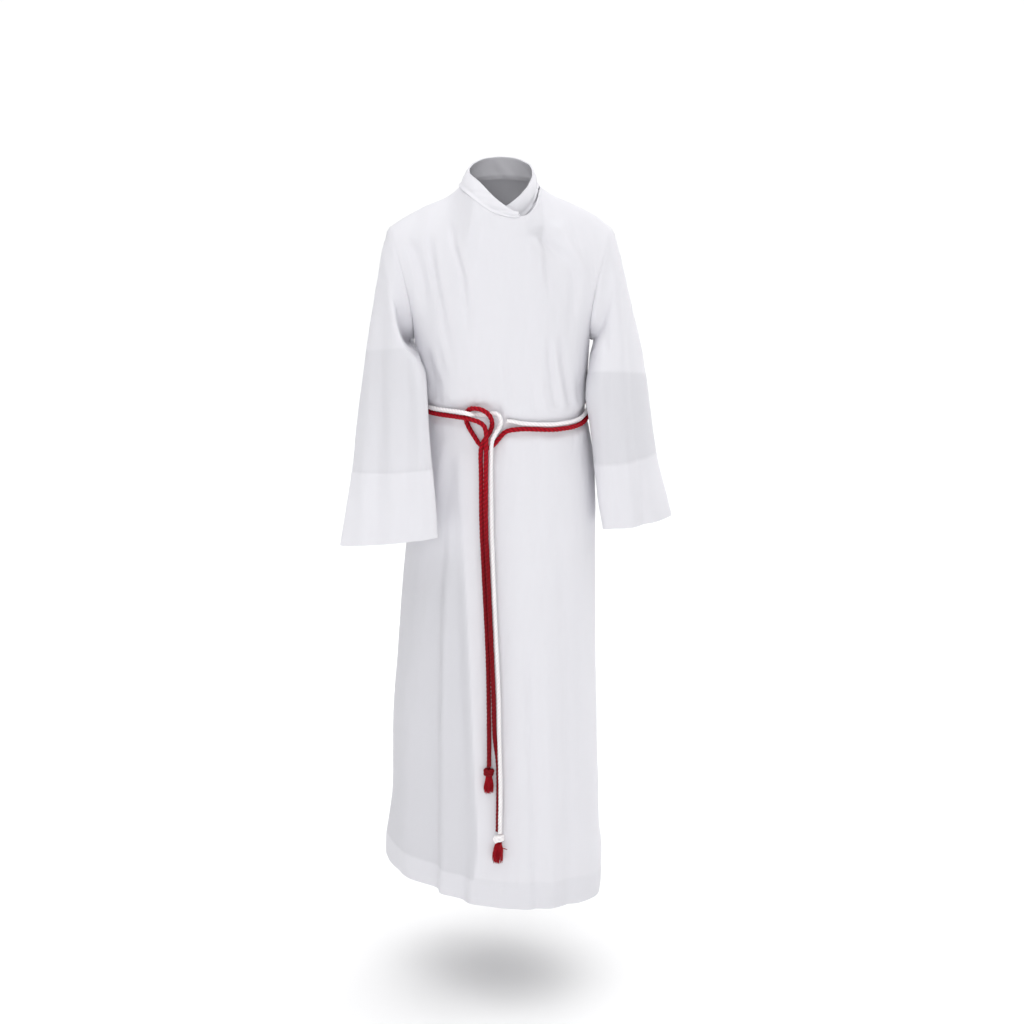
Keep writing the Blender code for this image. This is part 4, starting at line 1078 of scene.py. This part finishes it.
def tassel(name, spec, knot_spec, lean, seed, threads=130, spur=0):
    """A brush of loose threads below a knot."""
    length, half = spec
    (x, z), _, height, lift = knot_spec
    top = np.array(lying([(x, z - height / 2 + 0.0022, lift)])[0])
    rng = np.random.default_rng(seed)
    vertices, faces, uvs, plies = [], [], [], []
    sides, rows = 5, 8
    for i in range(threads):
        out = math.sqrt(rng.uniform(0, 1))
        a = rng.uniform(0, 2 * math.pi)
        start = np.array([math.cos(a) * out * 0.0044, math.sin(a) * out * 0.0036, 0.0])
        reach = half * out * rng.uniform(0.75, 1.12)
        end = np.array([math.cos(a) * reach, math.sin(a) * reach * 0.75, 0.0])
        long = (length + 0.0022) * rng.uniform(0.86, 1.02) * (1 - 0.10 * out)
        bend = np.array([math.sin(lean), 0, 0]) * -1
        wobble = rng.normal(0, 0.0007, 2)
        loose = rng.uniform(0, 1) < 0.16
        if loose:
            end = end * rng.uniform(1.15, 1.45)
        thick = rng.uniform(0.00042, 0.00062)
        if i < spur:
            start, end, wobble = start * 0.3, end * 0.25, wobble * 0.3
            long, thick = length * rng.uniform(0.40, 0.50), 0.00065
        for j in range(rows):
            f = j / (rows - 1)
            swell = ease(f * 1.4)
            centre = start * (1 - swell) + end * swell
            centre = centre + bend * long * f
            centre = centre + np.array([wobble[0], wobble[1], 0]) * math.sin(f * math.pi * 1.5)
            centre = centre + np.array([0, 0, -long * f])
            if i < spur:
                centre = centre + np.array([ease((f - 0.35) / 0.65) * 0.0125, -0.0015 * f, long * 0.30 * f**3])
            wide = thick * (1.0 - 0.55 * ease((f - 0.7) / 0.3))
            base = len(vertices)
            for k in range(sides):
                b = 2 * math.pi * k / sides
                vertices.append(tuple(top + centre + np.array([wide * math.cos(b), wide * math.sin(b), 0])))
                # Inner threads of the brush carry more painted shade than outer ones.
                plies.append(0.55 + 0.45 * out)
            if j:
                for k in range(sides):
                    n = (k + 1) % sides
                    faces.append((base - sides + k, base + k, base + n, base - sides + n))
                    uvs.append(((k / sides, f * long), (k / sides, f * long), (n / sides, f * long), (n / sides, f * long)))
        base = len(vertices) - sides
        faces.append(tuple(base + k for k in reversed(range(sides))))
        first = base - (rows - 1) * sides
        faces.append(tuple(first + k for k in range(sides)))
    mesh = bpy.data.meshes.new(name)
    mesh.from_pydata(vertices, [], faces)
    layer = mesh.uv_layers.new(name="cloth")
    flat = np.zeros((len(mesh.loops), 2), np.float32)
    coords = np.array(vertices)
    for loop in mesh.loops:
        p = coords[loop.vertex_index]
        flat[loop.index] = (p[0] * 20, p[2])
    layer.data.foreach_set("uv", flat.ravel())
    mesh.attributes.new("ply_and_shade", "FLOAT", "POINT").data.foreach_set("value", np.array(plies, np.float32))
    mesh.shade_smooth()
    obj = bpy.data.objects.new(name, mesh)
    scene.collection.objects.link(obj)
    return obj


# The red cord's dark tone is painted shade lower down its tails and knot; the groove tones are painted shade between
# the strands.
red_rope = rope_material("red_twisted_cord", (0.54, 0.004, 0.018), (0.27, 0.002, 0.008), (0.15, 0.001, 0.004), True, 0.0052)
white_rope = rope_material("white_twisted_cord", (0.99, 0.985, 0.99), (0.97, 0.95, 0.955), (0.90, 0.84, 0.86), False, 0.0052, 0.30)
red_threads = rope_material("red_loose_threads", (0.46, 0.003, 0.014), (0.30, 0.002, 0.008), (0.12, 0.001, 0.004), False, 0.0040)

red_line = np.array(lying(RED_FIRST + RED_HOOK) + round_waist(0.36, 3.44, 0.0, RED_OFF, 28) + lying(RED_SECOND))
white_line = np.array(
    lying(WHITE_LAST[::-1]) + round_waist(0.36, 3.44, WHITE_ABOVE, WHITE_OFF, 28) + lying(WHITE_FIRST[::-1])
)
red_line = through(red_line, 900)
white_line = through(white_line, 620)
red_cord, red_path, red_length = rope("cincture_red_cord", red_line, CORD_D, 0.0190)
white_cord, white_path, white_length = rope("cincture_white_cord", white_line, WHITE_D, 0.0175)
red_cord.data.materials.append(red_rope)
white_cord.data.materials.append(white_rope)
knot_red, _ = wound_knot("cincture_upper_knot", KNOT_UPPER, 0.0062, 2.1, 0.9, 0.0012)
knot_white, _ = wound_knot("cincture_lower_knot", KNOT_LOWER, 0.0058, 2.3, 2.4, 0.0014)
knot_red.data.materials.append(red_rope)
knot_white.data.materials.append(white_rope)
tassel_red = tassel("cincture_upper_tassel", TASSEL_UPPER, KNOT_UPPER, 0.03, 11)
tassel_low = tassel(
    "cincture_lower_tassel", TASSEL_LOWER, KNOT_LOWER, 0.06, 12,
    spur=9,
)
for piece in (tassel_red, tassel_low):
    piece.data.materials.append(red_threads)

# ---------------------------------------------------------------- garment
def spread(first, last, middle_parts, side_parts):
    """Columns with more under the shoulders, on the same lines as the solid."""
    side = np.linspace(-1, -NECK_S, side_parts + 1)
    neck = np.linspace(-NECK_S, NECK_S, middle_parts + 1)
    all_columns = np.concatenate([side, neck[1:-1], -side[::-1]])
    return all_columns[(all_columns > first - 1e-9) & (all_columns < last + 1e-9)]


columns = spread(-1, 1, 52, 36)
front = body_piece(columns, NECKLINE, FRONT_FOLDS, False, 20)
back = body_piece(columns, BACK_NECKLINE, BACK_FOLDS, True, 60)
under_columns = columns[columns > UNDER_FROM][::2]
if under_columns[-1] != 1:
    under_columns = np.append(under_columns, 1.0)
under = body_piece(under_columns, UNDER_NECKLINE, FRONT_FOLDS, False, 20, step=0.009)

# The armhole loops: shoulder point, down the front edge, up the back edge.
loops = {}
for side, column in (("right", 0), ("left", -1)):
    down = front["points"][front["armpit"] :, column][::-1]
    up = back["points"][back["armpit"] :, column]
    loops[side] = np.concatenate([down, up[1:-1]])

cloth = cloth_material()


def wall_for(piece):
    return SHELL + (HEM_SHELL - SHELL) * piece["hem"]


# Where the under front lies behind it the outer front reads whiter; to the
# # left of the under front's free edge it is one layer, painted greyer as shade
# # for the light that passes through, and this painted shade deepens from z -0.40
# # down to -0.60.
LAP_EDGE = np.array(
    [(-1.058, -0.0490), (-0.944, -0.0370), (-0.855, -0.0406), (-0.669, -0.0476), (-0.479, -0.0557), (-0.357, -0.0589)]
)
x, z = front["points"][..., 0], front["points"][..., 2]
lapped = ease((x - smooth(LAP_EDGE, z)[..., 0]) / 0.0040 + 0.5)
one_layer_shade = 0.88 - 0.84 * ease((-0.40 - z) / 0.20)
front_ply_and_shade = one_layer_shade + (0.92 - one_layer_shade) * lapped
# The turned hem gets a tone of its own in this painted layer shade, and its stitch line is painted darker as shade in
# the groove.
front_ply_and_shade = front_ply_and_shade + (0.66 - front_ply_and_shade) * front["hem"] - 0.30 * front["line"]
front_shell = shell(
    "front_outer_cloth", front["points"], front["across"], front["up"], front_ply_and_shade, wall_for(front),
)
# Painted light and shade: the back is a little whiter at its turned hem, where the cloth is double, and its stitch line
# is painted darker as shade in the groove.
back_shell = shell(
    "back_cloth", back["points"], back["across"], back["up"],
    0.90 + 0.04 * back["hem"] - 0.35 * back["line"], wall_for(back), flip=True,
)
under_normal = row_normals(under["points"])
under_points = under["points"] - under_normal * (CLOTH + LAP_GAP)
# Painted light: the under front is a little whiter at its turned hem, where the cloth is double.
under_shell = shell(
    "front_under_cloth", under_points, under["across"], under["up"],
    0.90 + 0.04 * under["hem"], wall_for(under),
)

sleeves = []
for name, side, sections, table, seed, cuff_at, whiter_above, flip in (
    ("sleeve_right_cloth", "right", SLEEVE_RIGHT, SLEEVE_RIGHT_FOLDS, 100, 4.95, -0.2382, True),
    ("sleeve_left_cloth", "left", SLEEVE_LEFT, SLEEVE_LEFT_FOLDS, 140, 4.72, -0.2707, False),
):
    made = build_sleeve(loops[side], sections, table, seed, cuff_at, flip)
    p = made["points"]
    # Painted shade: each sleeve is greyer where it is one layer, for the light that passes through it, and whiter above
    # a given level and at the turned cuff; the cuff's stitch line is painted darker as shade in the groove.
    level = p[..., 2] + 0.257 * p[..., 1]
    upper_whiter = ease((level - whiter_above) / 0.004 + 0.5)
    single_layer_shade = 0.50 if side == "right" else 0.22
    ply_and_shade = single_layer_shade + (0.92 - single_layer_shade) * np.maximum(upper_whiter, made["cuff"]) - 0.20 * made["line"]
    wall = SHELL + (HEM_SHELL - SHELL) * made["cuff"]
    sleeves.append(
        shell(name, p, made["turn"] * 0.05, made["down"], ply_and_shade, wall, closed=True, flip=flip)
    )
sleeve_right_shell, sleeve_left_shell = sleeves

band = between_rows(COLLAR, 14)
rise = np.linspace(-0.14, 1, 18)[:, None, None]
collar_points = band[None, :, :3] * (1 - rise) + band[None, :, 3:] * rise
collar_normal = row_normals(collar_points)
bar = np.linspace(-0.14, 1, 18)[:, None]
length_along = run_along(collar_points, 1)
belly = 0.0010 * np.sin(math.pi * np.clip(bar, 0, 1)) + 0.0009 * ease((0.10 - bar) / 0.24) + 0.00035 * waves(length_along, bar * 0.03, 7, 7, 0.030, 1.5)
stitch = -0.00035 * bell((bar - 0.90) / 0.04) - 0.00035 * bell((bar - 0.10) / 0.04)
collar_points = collar_points + collar_normal * (belly + stitch)[..., None]
collar_shell = shell(
    "collar_cloth", collar_points, length_along, run_along(collar_points, 0),
    np.full(collar_points.shape[:2], 1.0) + 0 * bar, COLLAR_CLOTH,
)

for piece, node, rests, flat, area in (
    (front_shell, "front_outer", ["worn"], (0.474, 1.085), 0.412),
    (under_shell, "front_under", ["worn"], (0.290, 1.084), 0.256),
    (back_shell, "back", ["worn"], (0.505, 1.089), 0.444),
    (sleeve_right_shell, "sleeve_right", ["worn"], (0.314, 0.463), 0.1095),
    (sleeve_left_shell, "sleeve_left", ["worn"], (0.314, 0.426), 0.106),
    (collar_shell, "collar", ["worn"], (0.453, 0.034), 0.0112),
):
    piece.data.materials.append(cloth)
    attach(piece, "root")
    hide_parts(node)

for piece, node, slot in (
    (red_cord, "cincture_red", "red_cord"),
    (white_cord, "cincture_white", "white_cord"),
    (knot_red, "knot_upper", "red_cord"),
    (knot_white, "knot_lower", "white_cord"),
    (tassel_red, "tassel_upper", "red_tassel"),
    (tassel_low, "tassel_lower", "red_tassel"),
):
    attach(piece, "root")
    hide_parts(node)

# ---------------------------------------------------------------- stage
floor_mesh = bpy.data.meshes.new("floor")
size = 320.0
floor_mesh.from_pydata(
    [(-size, -size, FLOOR_Z), (size, -size, FLOOR_Z), (size, size, FLOOR_Z), (-size, size, FLOOR_Z)], [], [(0, 1, 2, 3)]
)
floor = bpy.data.objects.new("floor", floor_mesh)
scene.collection.objects.link(floor)
floor.data.materials.append(floor_material())

world = bpy.data.worlds.new("studio")
scene.world = world
world.use_nodes = True
sky = world.node_tree
background = sky.nodes["Background"]
background.inputs["Color"].default_value = (1.0, 1.0, 1.0, 1)
# A wide soft light overhead, which falls on the floor and hardly on the
# upright cloth, over a low even light and a pale wall.
direction = sky.nodes.new("ShaderNodeTexCoord")
split = sky.nodes.new("ShaderNodeSeparateXYZ")
sky.links.new(direction.outputs["Generated"], split.inputs[0])
overhead = sky.nodes.new("ShaderNodeMapRange")
overhead.interpolation_type = "SMOOTHSTEP"
wall = sky.nodes.new("ShaderNodeMapRange")
wall.interpolation_type = "SMOOTHSTEP"
for node, span, values in ((overhead, (0.50, 1.00), (0.10, 2.40)), (wall, (0.08, 0.30), (0.62, 0.0))):
    sky.links.new(split.outputs[2], node.inputs["Value"])
    node.inputs["From Min"].default_value, node.inputs["From Max"].default_value = span
    node.inputs["To Min"].default_value, node.inputs["To Max"].default_value = values
strength = sky.nodes.new("ShaderNodeMath")
strength.operation = "ADD"
sky.links.new(overhead.outputs["Result"], strength.inputs[0])
sky.links.new(wall.outputs["Result"], strength.inputs[1])
sky.links.new(strength.outputs[0], background.inputs["Strength"])


def softbox(name, place, target, width, height, watts):
    lamp = bpy.data.lights.new(name, "AREA")
    lamp.shape = "RECTANGLE"
    lamp.size, lamp.size_y = width, height
    lamp.energy = watts
    obj = bpy.data.objects.new(name, lamp)
    obj.location = place
    direction = np.array(place) - np.array(target)
    yaw = math.atan2(direction[0], -direction[1])
    pitch = math.atan2(math.hypot(direction[0], direction[1]), direction[2])
    obj.rotation_euler = (pitch, 0, yaw)
    scene.collection.objects.link(obj)
    return obj


softbox("key", (-0.60, -4.1, 1.1), (0, 0, -0.5), 1.2, 1.2, 36.5)
softbox("fill", (1.3, -3.8, 0.3), (0, 0, -0.5), 1.0, 1.0, 5.0)
softbox("behind", (3.1, 2.3, 0.9), (0, 0, -0.5), 1.2, 1.2, 38.0)

scene.view_settings.view_transform = "Standard"
scene.view_settings.look = "None"
scene.view_settings.exposure = 0.0
scene.view_settings.gamma = 1.0
